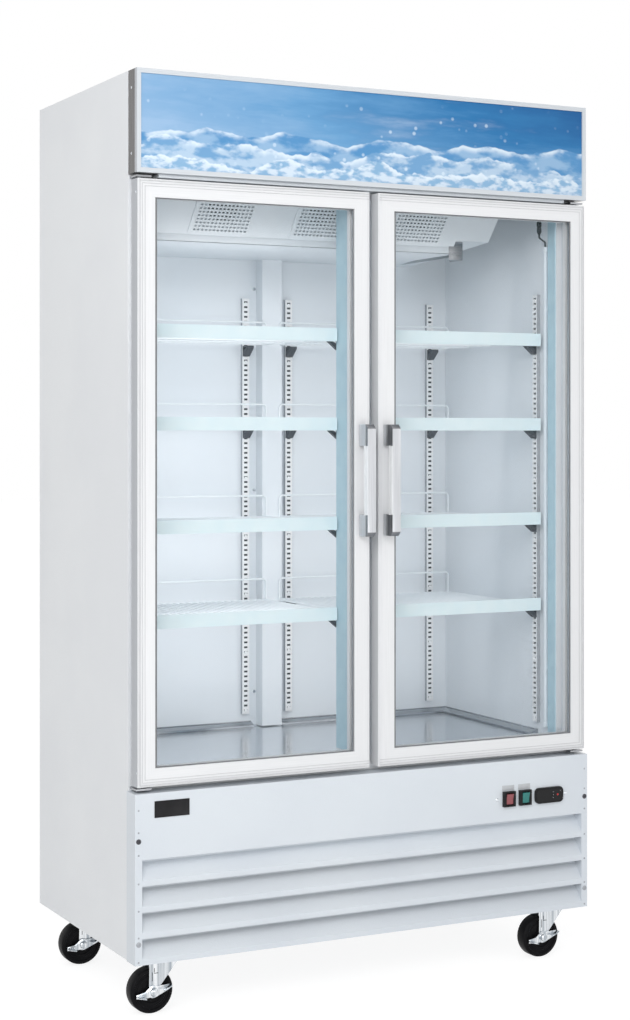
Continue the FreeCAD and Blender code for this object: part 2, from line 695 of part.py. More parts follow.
lamp_x = inner_half - s.lamp_foot - s.lamp_cap_size / 2
lamp_y = deep(s.lamp_depth)
lamp_low = floor_level + s.lamp_lift
lamp_top = opening_top - s.lamp_drop
lead_top = lamp_top + s.lead_rise
bend_inside = s.lead_bend - s.lead_width * (2 - math.sqrt(2))
lead_across = centred(lamp_x, s.lead_width)
lead_shape = [
    (lead_across[0], lamp_top), (lead_across[0], lead_top - s.lead_bend),
    (lead_across[0] + s.lead_bend, lead_top),
    (inner_half, lead_top), (inner_half, lead_top - s.lead_width),
    (lead_across[1] + bend_inside, lead_top - s.lead_width),
    (lead_across[1], lead_top - s.lead_width - bend_inside), (lead_across[1], lamp_top),
]
lamps = []
leads = []
for side in (-1, 1):
    tube_low = lamp_low + s.lamp_cap
    tube_length = lamp_top - s.lamp_cap - tube_low
    parts = [rod((lamp_x * side, lamp_y, tube_low), s.lamp_radius, tube_length)]
    cap_across = centred(lamp_x * side, s.lamp_cap_size)
    for low in (lamp_low, lamp_top - s.lamp_cap):
        cap_up = (low, low + s.lamp_cap)
        parts.append(block(cap_across, centred(lamp_y, s.lamp_cap_size), cap_up))
        parts.append(block(side_span(side, lamp_x, inner_half), centred(lamp_y, s.lamp_foot_width), cap_up))
    lamps.append(fuse(*parts))
    lead = prism("XZ", [[(x * side, z) for x, z in lead_shape]], centred(lamp_y, s.lead_width))
    plug_span = s.lead_width * 2
    plug_up = (lamp_top, lamp_top + s.plug_height)
    leads.append(fuse(lead, block(centred(lamp_x * side, plug_span), centred(lamp_y, plug_span), plug_up)))
batten_up = centred((header_bottom + s.cabinet_height) / 2, s.header_lamp_size)
batten_back = body_front - s.header_sheet
batten_across = inset(header_across, s.header_lamp_size * 3)
lamps.append(block(batten_across, (batten_back - s.header_lamp_size, batten_back), batten_up))
node("lamp_tubes", group(*lamps))
node("lamp_leads", group(*leads))

# Evaporator cover: a folded sheet that slopes down to a drip lip, with end plates and three grilles

evap_across = (s.evap_left - inner_half, inner_half - s.evap_right)
evap_center = (evap_across[0] + evap_across[1]) / 2
evap_front = head_back + s.liner_sheet
lip_y = deep(s.evap_lip_depth)
slope_run = lip_y - evap_front
slope_rise = evap_top - evap_lip_top
slope_length = root_of(slope_run * slope_run + slope_rise * slope_rise)
slope_angle = arctangent(slope_rise / slope_run)
sheet_rise = s.evap_sheet * slope_length / slope_run
inner_lip = lip_y + s.evap_sheet
inner_bottom = evap_bottom + s.evap_sheet
cover_section = [
    (evap_front, evap_top), (lip_y, evap_lip_top), (lip_y, evap_bottom), (inner_back, evap_bottom),
    (inner_back, inner_bottom), (inner_lip, inner_bottom),
    (inner_lip, evap_lip_top + sheet_rise - s.evap_sheet * slope_rise / slope_run),
    (evap_front, evap_top + sheet_rise),
]
end_plate = cover_section[:4] + [(inner_back, evap_top + sheet_rise), (evap_front, evap_top + sheet_rise)]
cover = new_body()
pad(cover, "YZ", [cover_section], evap_across)
pad(cover, "YZ", [end_plate], (evap_across[0], evap_across[0] + s.evap_sheet))
pad(cover, "YZ", [end_plate], (evap_across[1] - s.evap_sheet, evap_across[1]))

# Grille: a raised plate with rows of square holes, over a window in the sheet
field_across = centred(zero, s.grille_width - s.grille_margin * 2)
field_down = (s.grille_margin * 2, slope_length - s.grille_margin * 2)
grille = new_body()
plate_down = inset(field_down, -s.grille_margin)
pad(grille, "XY", [rectangle(centred(zero, s.grille_width), plate_down)], (-s.grille_rise, zero))
column_pitch = (field_across[1] - field_across[0]) / s.hole_columns
row_pitch = (field_down[1] - field_down[0]) / s.hole_rows
hole_column = [
    rectangle(
        centred(field_across[0] + column_pitch / 2, s.hole_width),
        centred(field_down[0] + row_pitch * (row + 0.5), s.hole_height),
    )
    for row in range(int(DIMENSIONS["hole_rows"]))
]
holes = pocket(grille, "XY", hole_column, (-s.grille_rise, zero))
spread(grille, holes, "X", column_pitch, s.hole_columns)
window = prism("XY", [rectangle(field_across, field_down)], (-s.evap_sheet, s.evap_sheet * 2))

grille_x = [evap_center + s.grille_pitch * step for step in (-1, 0, 1)]
windows = []
grilles = []
for x in grille_x:
    for source, copies in ((window, windows), (grille, grilles)):
        copies.append(copy_of(source, x, evap_front, evap_top))
        tilt(copies[-1], slope_angle)
node("evaporator_cover", group(cut(cover, *windows), *grilles))

# Fans: pitched blades round a bored hub, each on the shaft of a motor held by a bracket


def fan_rotor(hub, tip, thickness, root_width, tip_width):
    """Bored hub with flat blades, each pitched about its own radius."""
    body = new_body()
    pad(body, "XY", [polygon(zero, zero, hub, HUB_SIDES)], centred(zero, thickness))
    tip_half = tip_width / 2
    tip_level = root_of(tip * tip - tip_half * tip_half)
    root_level = hub - s.blade_sheet
    outline = [
        (root_level, -(root_width / 2)), (tip_level, -tip_half), (tip_level, tip_half / 2),
        (tip_level - tip_half / 2, tip_half), (root_level, root_width / 2),
    ]
    blade = pad(body, "XY", [outline], (zero, s.blade_sheet))
    profile = blade.Profile[0]
    profile.AttachmentOffset = Placement(Vector(), Rotation(Vector(1, 0, 0), s.blade_angle.value))
    bind(profile, **{"AttachmentOffset.Rotation.Angle": s.blade_angle})
    blades = body.newObject("PartDesign::PolarPattern", "Blades")
    blades.Originals = [blade]
    blades.Axis = ([item for item in body.Origin.OriginFeatures if item.Role == "Z_Axis"][0], [""])
    blades.Angle = 360
    bind(blades, Occurrences=s.blade_count)
    body.Tip = blades
    pocket(body, "XY", [faceted_bore(zero, zero, s.shaft_radius)], centred(zero, thickness))
    return body


def fan_motor(thickness, bracket_half, leg_start):
    """Motor behind the rotor, with its shaft and a bracket whose legs reach forward."""
    body = new_body()
    motor_front = thickness / 2 + s.shaft_gap
    motor_back = motor_front + s.motor_length
    pad(body, "XY", [polygon(zero, zero, s.shaft_radius)], (-(thickness / 2), motor_front))
    core = centred(zero, s.motor_width)
    pad(body, "XY", [rectangle(core, core)], (motor_front, motor_back))
    strap = centred(zero, s.bracket_width)
    strap_up = (motor_back, motor_back + s.motor_bracket)
    pad(body, "XY", [rectangle((-bracket_half, bracket_half), strap)], strap_up)
    for side in (-1, 1):
        leg = side_span(side, bracket_half - s.motor_bracket, bracket_half)
        pad(body, "XY", [rectangle(leg, strap)], (leg_start, motor_back))
    return body


evap_fan = fan_rotor(s.fan_hub, s.fan_radius, s.fan_thickness, s.blade_root, s.blade_tip)
evap_motor = fan_motor(s.fan_thickness, s.bracket_half, s.evap_sheet - s.fan_setback)
fan_y = evap_front + slope_run / 2 + s.fan_setback * slope_rise / slope_length
fan_z = evap_top - slope_rise / 2 + s.fan_setback * slope_run / slope_length
motors = []
for index, x in enumerate(grille_x, start=1):
    rotor = node(f"evaporator_fan_{index}", copy_of(evap_fan, x, fan_y, fan_z))
    motors.append(copy_of(evap_motor, x, fan_y, fan_z))
    tilt(rotor, slope_angle)
    tilt(motors[-1], slope_angle)


def finned_coil(across, depth, up, foot):
    """Coil core with fins all round, between two end plates that stand on their foot."""
    body = new_body()
    pad(body, "YZ", [rectangle(inset(depth, s.fin_proud), inset(up, s.fin_proud))], across)
    pitch = (across[1] - across[0]) / (s.fin_count + 1)
    first = across[0] + pitch
    fin = pad(body, "YZ", [rectangle(depth, up)], (first, first + s.fin_sheet))
    spread(body, fin, "X", pitch, s.fin_count)
    for end in ((across[0], across[0] + s.fin_sheet), (across[1] - s.fin_sheet, across[1])):
        pad(body, "YZ", [rectangle(depth, (foot, up[1]))], end)
    return body


evap_depth = (lip_y + s.coil_setback, inner_back - s.coil_back_gap)
evap_up = (evap_bottom + s.coil_lift, ceiling - s.coil_gap)
node("evaporator_coil", finned_coil(inset(evap_across, s.coil_margin), evap_depth, evap_up, inner_bottom))

# Base: deck with a front tongue for the casters, and angle posts under the insulated box

deck_top = s.deck_bottom + s.deck_sheet
tongue = base_half - s.base_flange - s.tongue_gap
tongue_front = deep(s.caster_front) - s.plate_size / 2
deck_outline = [
    (-tongue, tongue_front), (tongue, tongue_front), (tongue, frame_front), (skin_half, frame_front),
    (skin_half, rear_sheet[0]), (-skin_half, rear_sheet[0]), (-skin_half, frame_front),
    (-tongue, frame_front),
]
base = [prism("XY", [deck_outline], (s.deck_bottom, deck_top))]
for side in (-1, 1):
    for wall, step in ((frame_front, 1), (rear_sheet[0], -1)):
        outer = skin_half * side
        inner = (skin_half - s.deck_post) * side
        outer_face = (skin_half - s.post_sheet) * side
        angle = [
            (outer, wall), (inner, wall), (inner, wall + s.post_sheet * step),
            (outer_face, wall + s.post_sheet * step), (outer_face, wall + s.deck_post * step),
            (outer, wall + s.deck_post * step),
        ]
        base.append(prism("XY", [angle], (deck_top, floor_under)))
node("base_deck", group(*base))

# Louvred front panel, folded back at its top and sides

window_half = base_half - s.post_width
louvre_count = whole((s.base_top - s.louvre_head - s.panel_bottom) / s.louvre_pitch)
louvre_top = s.panel_bottom + s.louvre_pitch * louvre_count
folded = front + s.base_sheet
louvre = new_body()
face_outline = [
    (-base_half, s.panel_bottom), (-window_half, s.panel_bottom), (-window_half, louvre_top),
    (window_half, louvre_top), (window_half, s.panel_bottom), (base_half, s.panel_bottom),
    (base_half, s.base_top), (-base_half, s.base_top),
]
pad(louvre, "XZ", [face_outline], (front, folded))
panel_up = (s.panel_bottom, s.base_top)
for side in (-1, 1):
    wrap = side_span(side, base_half - s.base_sheet, base_half)
    flange = side_span(side, base_half - s.base_flange, base_half - s.base_sheet)
    cheek = side_span(side, window_half, window_half + s.base_sheet)
    pad(louvre, "XZ", [rectangle(wrap, panel_up)], (folded, body_front))
    pad(louvre, "XZ", [rectangle(flange, panel_up)], (body_front - s.base_sheet, body_front))
    pad(louvre, "XZ", [rectangle(cheek, (s.panel_bottom, louvre_top))], (folded, folded + s.louvre_recess))
window_across = (-window_half, window_half)
roof = rectangle(inset(window_across, -s.base_sheet), (louvre_top, louvre_top + s.base_sheet))
pad(louvre, "XZ", [roof], (folded, folded + s.louvre_recess))
top_fold = rectangle(inset((-base_half, base_half), s.base_sheet), (s.base_top - s.base_sheet, s.base_top))
pad(louvre, "XZ", [top_fold], (folded, body_front - s.base_sheet))
blade_top = s.panel_bottom + s.louvre_pitch - s.louvre_gap
blade_back = front + s.louvre_recess
lip_top = s.panel_bottom + s.louvre_lip
blade_section = [
    (front, s.panel_bottom), (front, lip_top), (blade_back, blade_top),
    (blade_back + s.base_sheet, blade_top), (folded, lip_top), (folded, s.panel_bottom),
]
louvre_blade = pad(louvre, "YZ", [blade_section], window_across)
spread(louvre, louvre_blade, "Z", s.louvre_pitch, louvre_count)

# Controls: two rocker switches and a controller, each through its own cut-out

control_level = s.base_top - s.control_drop
switch_x = {"power_rocker": base_half - s.power_inset, "light_rocker": base_half - s.light_inset}
well_up = centred(control_level, s.rocker_height + s.rocker_clear * 2)
pivot_y = front - s.rocker_pivot
housings = []
for label, x in switch_x.items():
    bezel = rectangle(centred(x, s.bezel_width), centred(control_level, s.bezel_height))
    barrel_across = inset(centred(x, s.bezel_width), s.bezel_step)
    barrel_up = inset(centred(control_level, s.bezel_height), s.bezel_step / 2)
    housing = new_body()
    pad(housing, "XZ", [bezel], (front - s.control_proud, front))
    pad(housing, "XZ", [rectangle(barrel_across, barrel_up)], (front, front + s.switch_depth))
    well = rectangle(inset(centred(x, s.rocker_width), -s.seat_gap), well_up)
    pocket(housing, "XZ", [well], (front - s.control_proud, front + s.rocker_well))
    pivot_pin = polygon(pivot_y, control_level, s.rocker_pin)
    pad(housing, "YZ", [pivot_pin], centred(x, s.rocker_width + s.bezel_step))
    housings.append(housing)
    pocket(louvre, "XZ", [rectangle(barrel_across, barrel_up)], (front, folded))
    low = control_level - s.rocker_height / 2
    high = control_level + s.rocker_height / 2
    rocker_section = [
        (pivot_y - s.rocker_high, high), (pivot_y - s.rocker_middle, control_level),
        (pivot_y - s.rocker_low, low), (pivot_y + s.rocker_back, low), (pivot_y + s.rocker_back, high),
    ]
    pin_bore = faceted_bore(pivot_y, control_level, s.rocker_pin)
    node(label, prism("YZ", [rocker_section, pin_bore], centred(x, s.rocker_width)))
node("switch_housings", group(*housings))

controller = new_body()
face_across = centred(base_half - s.controller_inset, s.controller_width)
face_up = centred(control_level, s.controller_height)
barrel = rectangle(inset(face_across, s.controller_margin), inset(face_up, s.controller_margin))
face_front = front - s.controller_proud
face_step = face_front + s.controller_bevel
pad(controller, "XZ", [rectangle(face_across, face_up)], (face_step, front))
bevel = rectangle(inset(face_across, s.controller_bevel), inset(face_up, s.controller_bevel))
pad(controller, "XZ", [bevel], (face_front, face_step))
pad(controller, "XZ", [barrel], (front, front + s.controller_depth))
pocket(louvre, "XZ", [barrel], (front, folded))
node("controller", controller)
node("louvre_panel", louvre)

# Condensing unit on the deck: compressor, finned condenser, fan in its shroud, and motor

radius = s.compressor_radius
compressor = new_body()
pad(compressor, "XY", [(zero, zero, radius)], (s.compressor_foot, s.compressor_height))
foot_span = centred(zero, radius * 2)
pad(compressor, "XY", [rectangle(foot_span, foot_span)], (zero, s.compressor_foot))
place(compressor, s.compressor_x, deep(s.compressor_depth), deck_top)
node("compressor", compressor)

condenser_across = centred(s.condenser_x, s.condenser_width)
condenser_y = (deep(s.condenser_front), deep(s.condenser_front + s.condenser_depth))
condenser_up = (deck_top, floor_under - s.condenser_gap)
node("condenser_coil", finned_coil(condenser_across, condenser_y, condenser_up, deck_top))

fan_centre = (condenser_up[0] + condenser_up[1]) / 2
shroud_plate = (condenser_y[1], condenser_y[1] + s.shroud_sheet)
duct_inner = s.condenser_fan_radius + s.fan_clear
duct = (s.condenser_x, fan_centre, duct_inner)
shroud = new_body()
pad(shroud, "XZ", [rectangle(condenser_across, condenser_up), duct], shroud_plate)
rim = (shroud_plate[1], shroud_plate[1] + s.shroud_depth)
frame_ring(condenser_across, condenser_up, s.shroud_sheet, rim, shroud)
node("condenser_shroud", shroud)

condenser_fan_y = shroud_plate[1] + s.shroud_depth / 2
big_rotor = fan_rotor(
    s.condenser_hub, s.condenser_fan_radius, s.condenser_fan_thickness,
    s.condenser_blade_root, s.condenser_blade_tip,
)
big_motor = fan_motor(s.condenser_fan_thickness, duct_inner + s.bracket_width, -(s.shroud_depth / 2))
upright = Size("90", 90.0)
for source in (big_rotor, big_motor):
    placed = copy_of(source, s.condenser_x, condenser_fan_y, fan_centre)
    tilt(placed, upright)
    if source is big_rotor:
        node("condenser_fan", placed)
    else:
        motors.append(placed)
node("fan_motors", group(*motors))

# Casters: a top plate with its bearing and kingpin, a fork with the axle, a wheel and a brake pedal

plate_low = s.deck_bottom - s.plate_sheet
race_low = plate_low - s.race_height
crown_top = race_low - s.seat_gap
crown_low = crown_top - s.crown_height
axle_x = -s.caster_trail
axle_z = s.wheel_radius
leg_inner = s.tread_width / 2 + s.fork_gap
leg_outer = leg_inner + s.fork_sheet
pedal_inner = leg_outer + s.seat_gap
pedal_outer = pedal_inner + s.pedal_sheet
nut_inner = pedal_outer + s.seat_gap

top_plate = new_body()
plate_span = centred(zero, s.plate_size)
pad(top_plate, "XY", [rectangle(plate_span, plate_span)], (plate_low, s.deck_bottom))
pad(top_plate, "XY", [octagon(s.race_width, s.crown_corner)], (race_low, plate_low))
pad(top_plate, "XY", [polygon(zero, zero, s.kingpin_radius)], (race_low - s.kingpin_length, race_low))

fork = new_body()
kingpin_bore = faceted_bore(zero, zero, s.kingpin_radius)
pad(fork, "XY", [octagon(s.crown_width, s.crown_corner), kingpin_bore], (crown_low, crown_top))
foot_half = s.fork_foot / 2
leg = [
    (-(s.fork_width / 2), crown_low), (s.fork_width / 2, crown_low), (axle_x + foot_half, axle_z),
    (axle_x + foot_half / 2, axle_z - foot_half), (axle_x - foot_half / 2, axle_z - foot_half),
    (axle_x - foot_half, axle_z),
]
for side in (-1, 1):
    pad(fork, "XZ", [leg], side_span(side, leg_inner, leg_outer))
pad(fork, "XZ", [polygon(axle_x, axle_z, s.axle_radius)], (-nut_inner, leg_outer))
pad(fork, "XZ", [polygon(axle_x, axle_z, s.nut_radius)], (-(nut_inner + s.nut_height), -nut_inner))

# Wheel: dished on both sides between its hub and its tread
axle_bore = faceted_bore(zero, zero, s.axle_radius)
tread = centred(zero, s.tread_width)
wheel = new_body()
pad(wheel, "XZ", [(zero, zero, s.wheel_radius), axle_bore], tread)
dish = [polygon(zero, zero, s.dish_radius, DISH_SIDES), polygon(zero, zero, s.wheel_hub, HUB_SIDES)]
for dish_span in ((tread[0], tread[0] + s.dish_depth), (tread[1] - s.dish_depth, tread[1])):
    pocket(wheel, "XZ", dish, dish_span)

pedal = new_body()
half_height = s.pedal_height / 2
arm = [
    (-s.pedal_reach, -s.pedal_rise - half_height), (zero, -s.pedal_radius),
    (s.pedal_reach, s.pedal_rise - half_height), (s.pedal_reach, s.pedal_rise + half_height),
    (zero, s.pedal_radius), (-s.pedal_reach, half_height - s.pedal_rise),
]
pedal_span = (-pedal_outer, -pedal_inner)
pad(pedal, "XZ", [arm, axle_bore], pedal_span)
for side in (-1, 1):
    flap_across = side_span(side, s.pedal_reach - s.pedal_sheet, s.pedal_reach)
    flap_up = centred(s.pedal_rise * side, s.pedal_height)
    pad(pedal, "XZ", [rectangle(flap_across, flap_up)], (-(pedal_outer + s.pedal_flap), -pedal_outer))

plates = []
for side, hand in ((-1, "left"), (1, "right")):
    for depth, end in ((s.caster_front, "front"), (s.cabinet_depth - s.caster_rear_inset, "rear")):
        x = (half - s.caster_inset) * side
        y = deep(depth)
        plates.append(copy_of(top_plate, x, y, zero))
        node(f"caster_fork_{end}_{hand}", copy_of(fork, x, y, zero))
        node(f"caster_wheel_{end}_{hand}", copy_of(wheel, x + axle_x, y, axle_z))
        node(f"caster_pedal_{end}_{hand}", copy_of(pedal, x + axle_x, y, axle_z))
node("caster_plates", group(*plates))

# Recompute, check every object and write one file for each sub-part

doc.recompute()
failed = [item.Label for item in doc.Objects if "Invalid" in item.State or "Error" in item.State]
failed += [label for label, item in nodes.items() if item.Shape.isNull() or not item.Shape.isValid()]
if failed:
    raise RuntimeError("these objects failed: " + ", ".join(failed))
os.makedirs("parts", exist_ok=True)
for label, item in nodes.items():
    item.Shape.exportStep(os.path.join("parts", f"{label}.step"))
print(len(nodes), "sub-parts written")
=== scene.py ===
"""Two-door glass display freezer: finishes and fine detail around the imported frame."""

import math

import bmesh
import bpy
from mathutils import Matrix, Vector


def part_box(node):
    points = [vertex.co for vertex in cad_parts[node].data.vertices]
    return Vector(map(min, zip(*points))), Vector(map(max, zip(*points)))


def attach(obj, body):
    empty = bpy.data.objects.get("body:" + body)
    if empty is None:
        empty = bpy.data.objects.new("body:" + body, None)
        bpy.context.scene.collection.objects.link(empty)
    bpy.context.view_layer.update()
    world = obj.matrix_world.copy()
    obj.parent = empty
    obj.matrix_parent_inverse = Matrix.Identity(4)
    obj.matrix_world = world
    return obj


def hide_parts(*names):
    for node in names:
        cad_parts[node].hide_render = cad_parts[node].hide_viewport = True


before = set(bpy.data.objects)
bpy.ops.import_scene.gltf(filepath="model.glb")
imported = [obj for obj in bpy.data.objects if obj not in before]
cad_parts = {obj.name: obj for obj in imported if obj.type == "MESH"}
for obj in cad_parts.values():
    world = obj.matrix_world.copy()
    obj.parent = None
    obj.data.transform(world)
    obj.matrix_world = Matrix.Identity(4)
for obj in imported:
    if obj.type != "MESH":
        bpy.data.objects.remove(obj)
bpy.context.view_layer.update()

MM = 0.001


# Shader helpers


def adds_maths(operation, swapped=False):
    """Makes a method of Wire that adds a Math node."""
    def method(self, other):
        values = (other, self) if swapped else (self, other)
        return self.nodes.node("ShaderNodeMath", {"operation": operation}, values)
    return method


class Wire:
    """One shader socket; arithmetic on it adds Math nodes."""

    __add__, __radd__ = adds_maths("ADD"), adds_maths("ADD", True)
    __sub__, __rsub__ = adds_maths("SUBTRACT"), adds_maths("SUBTRACT", True)
    __mul__, __truediv__ = adds_maths("MULTIPLY"), adds_maths("DIVIDE")
    above, below = adds_maths("GREATER_THAN"), adds_maths("LESS_THAN")
    larger = adds_maths("MAXIMUM")

    def __init__(self, nodes, socket):
        self.nodes = nodes
        self.socket = socket

    def __abs__(self):
        return self.nodes.node("ShaderNodeMath", {"operation": "ABSOLUTE"}, [self])

    def fade(self, start, end):
        """0 at the start and 1 at the end, with a soft step between."""
        settings = {"interpolation_type": "SMOOTHSTEP"}
        return self.nodes.node("ShaderNodeMapRange", settings, {0: self, 1: start, 2: end})


class Nodes:
    """A node tree whose nodes are added one call at a time."""

    def __init__(self, tree):
        self.tree = tree

    def node(self, kind, settings=None, inputs=(), output=0):
        made = self.tree.nodes.new(kind)
        for name, value in (settings or {}).items():
            setattr(made, name, value)
        pairs = inputs.items() if isinstance(inputs, dict) else enumerate(inputs)
        for key, value in pairs:
            self.join(made.inputs[key], value)
        return Wire(self, made.outputs[output])

    def join(self, socket, value):
        if isinstance(value, Wire):
            self.tree.links.new(value.socket, socket)
        elif socket.type == "RGBA" and len(value) == 3:
            socket.default_value = (*value, 1)
        else:
            socket.default_value = value


class Finish(Nodes):
    """A material and the patterns that its shader is made from."""

    def __init__(self, name, **sockets):
        self.material = bpy.data.materials.new(name)
        self.material.use_nodes = True
        super().__init__(self.material.node_tree)
        self.shader = self.tree.nodes["Principled BSDF"]
        self.set(**sockets)

    def set(self, **sockets):
        """Sets or links the shader's sockets, such as Base_Color."""
        for name, value in sockets.items():
            self.join(self.shader.inputs[name.replace("_", " ")], value)
        return self

    def axes(self):
        """x, y and z of the surface point, in metres."""
        point = self.node("ShaderNodeTexCoord", output="Object")
        return [self.node("ShaderNodeSeparateXYZ", None, [point], index) for index in range(3)]

    def place(self, size, stretch):
        """Object coordinates in steps of this many metres, longer where the stretch is large."""
        point = self.node("ShaderNodeTexCoord", output="Object")
        scale = tuple(1 / (size * along) for along in stretch)
        return self.node("ShaderNodeVectorMath", {"operation": "MULTIPLY"}, [point, scale])

    def noise(self, size, detail=2, stretch=(1, 1, 1), rough=0.5):
        """Noise whose features are about this size in metres."""
        place = self.place(size, stretch)
        inputs = {"Vector": place, "Scale": 1.0, "Detail": detail, "Roughness": rough}
        return self.node("ShaderNodeTexNoise", None, inputs)

    def cells(self, size, output="Distance", stretch=(1, 1, 1)):
        """Cells of about this size: the distance to the middle of each, or its own colour."""
        inputs = {"Vector": self.place(size, stretch), "Scale": 1.0}
        return self.node("ShaderNodeTexVoronoi", None, inputs, output)

    def ramp(self, value, *stops):
        """Colour picked by a value from stops, each a position and a colour."""
        made = self.node("ShaderNodeValToRGB", None, [value], "Color")
        elements = made.socket.node.color_ramp.elements
        while len(elements) < len(stops):
            elements.new(1)
        for element, (position, colour) in zip(elements, stops):
            element.position = position
            element.color = (*colour, 1)
        return made

    def mix(self, factor, first, second):
        settings = {"data_type": "RGBA"}
        return self.node("ShaderNodeMix", settings, {0: factor, 6: first, 7: second}, 2)

    def tinted(self, pattern, colour, shade):
        """Base colour that goes from the colour to its shade where the pattern rises."""
        return self.set(Base_Color=self.mix(pattern.fade(0.3, 0.7), colour, shade))

    def bump(self, height, depth):
        """Bump of this depth in metres on the shader's normal."""
        inputs = {"Strength": 1.0, "Distance": depth, "Height": height}
        return self.set(Normal=self.node("ShaderNodeBump", None, inputs))


# Finishes

ORANGE_PEEL = 0.4 * MM
SMOOTH_PEEL = 0.03 * MM
BRUSHED_GRAIN = 1.6 * MM
SHARP_EDGE = 0.4 * MM


def powder_coat(name, colour, shade, peel=ORANGE_PEEL, gloss=0.15, gloss_rough=0.3):
    """Baked paint with a fine orange peel and a faint drift in tone."""
    finish = Finish(name, Coat_Weight=gloss, Coat_Roughness=gloss_rough)
    drift = finish.noise(350 * MM, 3).fade(0.35, 0.65)
    finish.set(Base_Color=finish.mix(drift, colour, shade))
    finish.set(Roughness=0.36 + finish.noise(50 * MM, 3) * 0.14)
    return finish.bump(finish.noise(2.2 * MM), peel).material


def rolled_metal(
    name, colour, shade, along, metallic=1.0, rough=0.3, depth=0.08 * MM, grain=BRUSHED_GRAIN,
):
    """Metal brushed along one axis; with a coarse grain and a dark shade, its streaks become painted
    reflection bands.
    """
    finish = Finish(name, Metallic=metallic)
    streak = finish.noise(grain, 3, [60 if axis == along else 1 for axis in "xyz"])
    finish.tinted(streak, colour, shade)
    finish.set(Roughness=rough - 0.08 + streak * 0.16)
    return finish.bump(streak, depth).material


def framed_alloy(name, colour, shade, edge, node):
    """Satin aluminium frame, brushed along each member, its outermost faces left grey."""
    low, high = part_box(node)
    middle, half = (low + high) / 2, (high - low) / 2
    finish = Finish(name, Metallic=0.1)
    x, _, z = finish.axes()
    from_side = half.x - abs(abs(x) - middle.x)
    from_end = half.z - abs(z - middle.z)
    is_upright = from_side.below(from_end)
    upright = finish.noise(BRUSHED_GRAIN, 3, (1, 1, 90))
    level = finish.noise(BRUSHED_GRAIN, 3, (90, 1, 1))
    streak = upright * is_upright + level * (1 - is_upright)
    brushed = finish.mix(streak.fade(0.3, 0.7), colour, shade)
    outside = abs(x).above(high.x - SHARP_EDGE)
    finish.set(Base_Color=finish.mix(outside, brushed, edge))
    finish.set(Roughness=0.3 + streak * 0.12)
    return finish.bump(streak, 0.04 * MM).material


def spangled_zinc(name, colour, shade):
    """Galvanised sheet with its crystal spangle."""
    finish = Finish(name, Metallic=1.0)
    tone = finish.node("ShaderNodeRGBToBW", None, [finish.cells(11 * MM, "Color")])
    finish.set(Base_Color=finish.mix(tone, colour, shade))
    finish.set(Roughness=0.34 + tone * 0.16)
    return finish.bump(finish.noise(4 * MM, 3), 0.06 * MM).material


def moulded(name, colour, shade, rough=0.45, grain=0.9 * MM, shine=0.5):
    """Moulded plastic or rubber with a fine texture."""
    finish = Finish(name, Specular_IOR_Level=shine)
    finish.tinted(finish.noise(30 * MM, 4), colour, shade)
    finish.set(Roughness=rough + finish.noise(12 * MM, 3) * 0.12)
    return finish.bump(finish.noise(grain), 0.12 * MM).material


def clear_pane():
    """Sealed glass: almost clear face on, a little more reflective at a slant."""
    finish = Finish("door_pane_glass", Base_Color=(0.5, 0.68, 0.76), Roughness=0.02)
    slant = finish.node("ShaderNodeLayerWeight", None, {"Blend": 0.28}, "Facing")
    smear = finish.noise(250 * MM, 3)
    finish.set(Specular_IOR_Level=0.3, Alpha=0.01 + slant * slant * 0.1 + smear * 0.006)
    return finish.material


def lamp_glow():
    """Frosted lamp tube, dimly lit, a little cooler in places."""
    finish = Finish("lamp_glow", Base_Color=(0.6, 0.65, 0.7), Roughness=0.3)
    glow = finish.mix(finish.noise(150 * MM), (0.86, 0.95, 1.0), (0.95, 0.98, 1.0))
    return finish.set(Emission_Color=glow, Emission_Strength=0.1).material


def header_print():
    """Print on the header: mist across a cold sky above rolling drifts of snow, with soft flakes."""
    finish = Finish("header_snow_print", Roughness=0.22, Specular_IOR_Level=0.2)
    low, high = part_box("header_panel")
    x, _, z = finish.axes()
    across = (x - low.x) / (high.x - low.x)
    up = (z - low.z) / (high.z - low.z)
    mist = finish.noise(200 * MM, 6, (2.8, 1, 0.5), 0.6)
    colour = finish.ramp(
        across * 0.62 + up * 0.3 + (mist - 0.5) * 0.9,
        (0.1, (0.30, 0.46, 0.66)), (0.4, (0.13, 0.32, 0.56)),
        (0.68, (0.025, 0.17, 0.40)), (0.95, (0.006, 0.09, 0.28)),
    )
    colour = finish.mix(mist.fade(0.5, 0.72) * 0.6, colour, (0.46, 0.6, 0.76))
    for crest, swell, length, lit, shaded in (
        (0.46, 0.6, 200 * MM, (0.27, 0.44, 0.64), (0.09, 0.27, 0.52)),
        (0.31, 0.56, 130 * MM, (0.43, 0.57, 0.72), (0.16, 0.34, 0.57)),
        (0.15, 0.44, 90 * MM, (0.6, 0.7, 0.8), (0.24, 0.42, 0.62)),
    ):
        ridge = crest + (finish.noise(length, 4, (1, 1, 60)) - 0.5) * swell
        below = ridge - up
        drift = below.fade(-0.008, 0.008)
        relief = finish.noise(length * 0.22, 5, (1.7, 1, 0.8))
        snow = finish.mix(relief.fade(0.4, 0.6), shaded, lit)
        rim = 1 - below.fade(0.0, 0.08)
        snow = finish.mix(rim * relief.fade(0.36, 0.6) * 0.9, snow, (0.7, 0.79, 0.87))
        colour = finish.mix(drift, colour, snow)
    flake = 1 - finish.cells(30 * MM, stretch=(1, 30, 1)).fade(0.09, 0.2)
    colour = finish.mix(flake * mist.fade(0.44, 0.6) * 0.5, colour, (0.72, 0.82, 0.9))
    return finish.set(Base_Color=colour).material


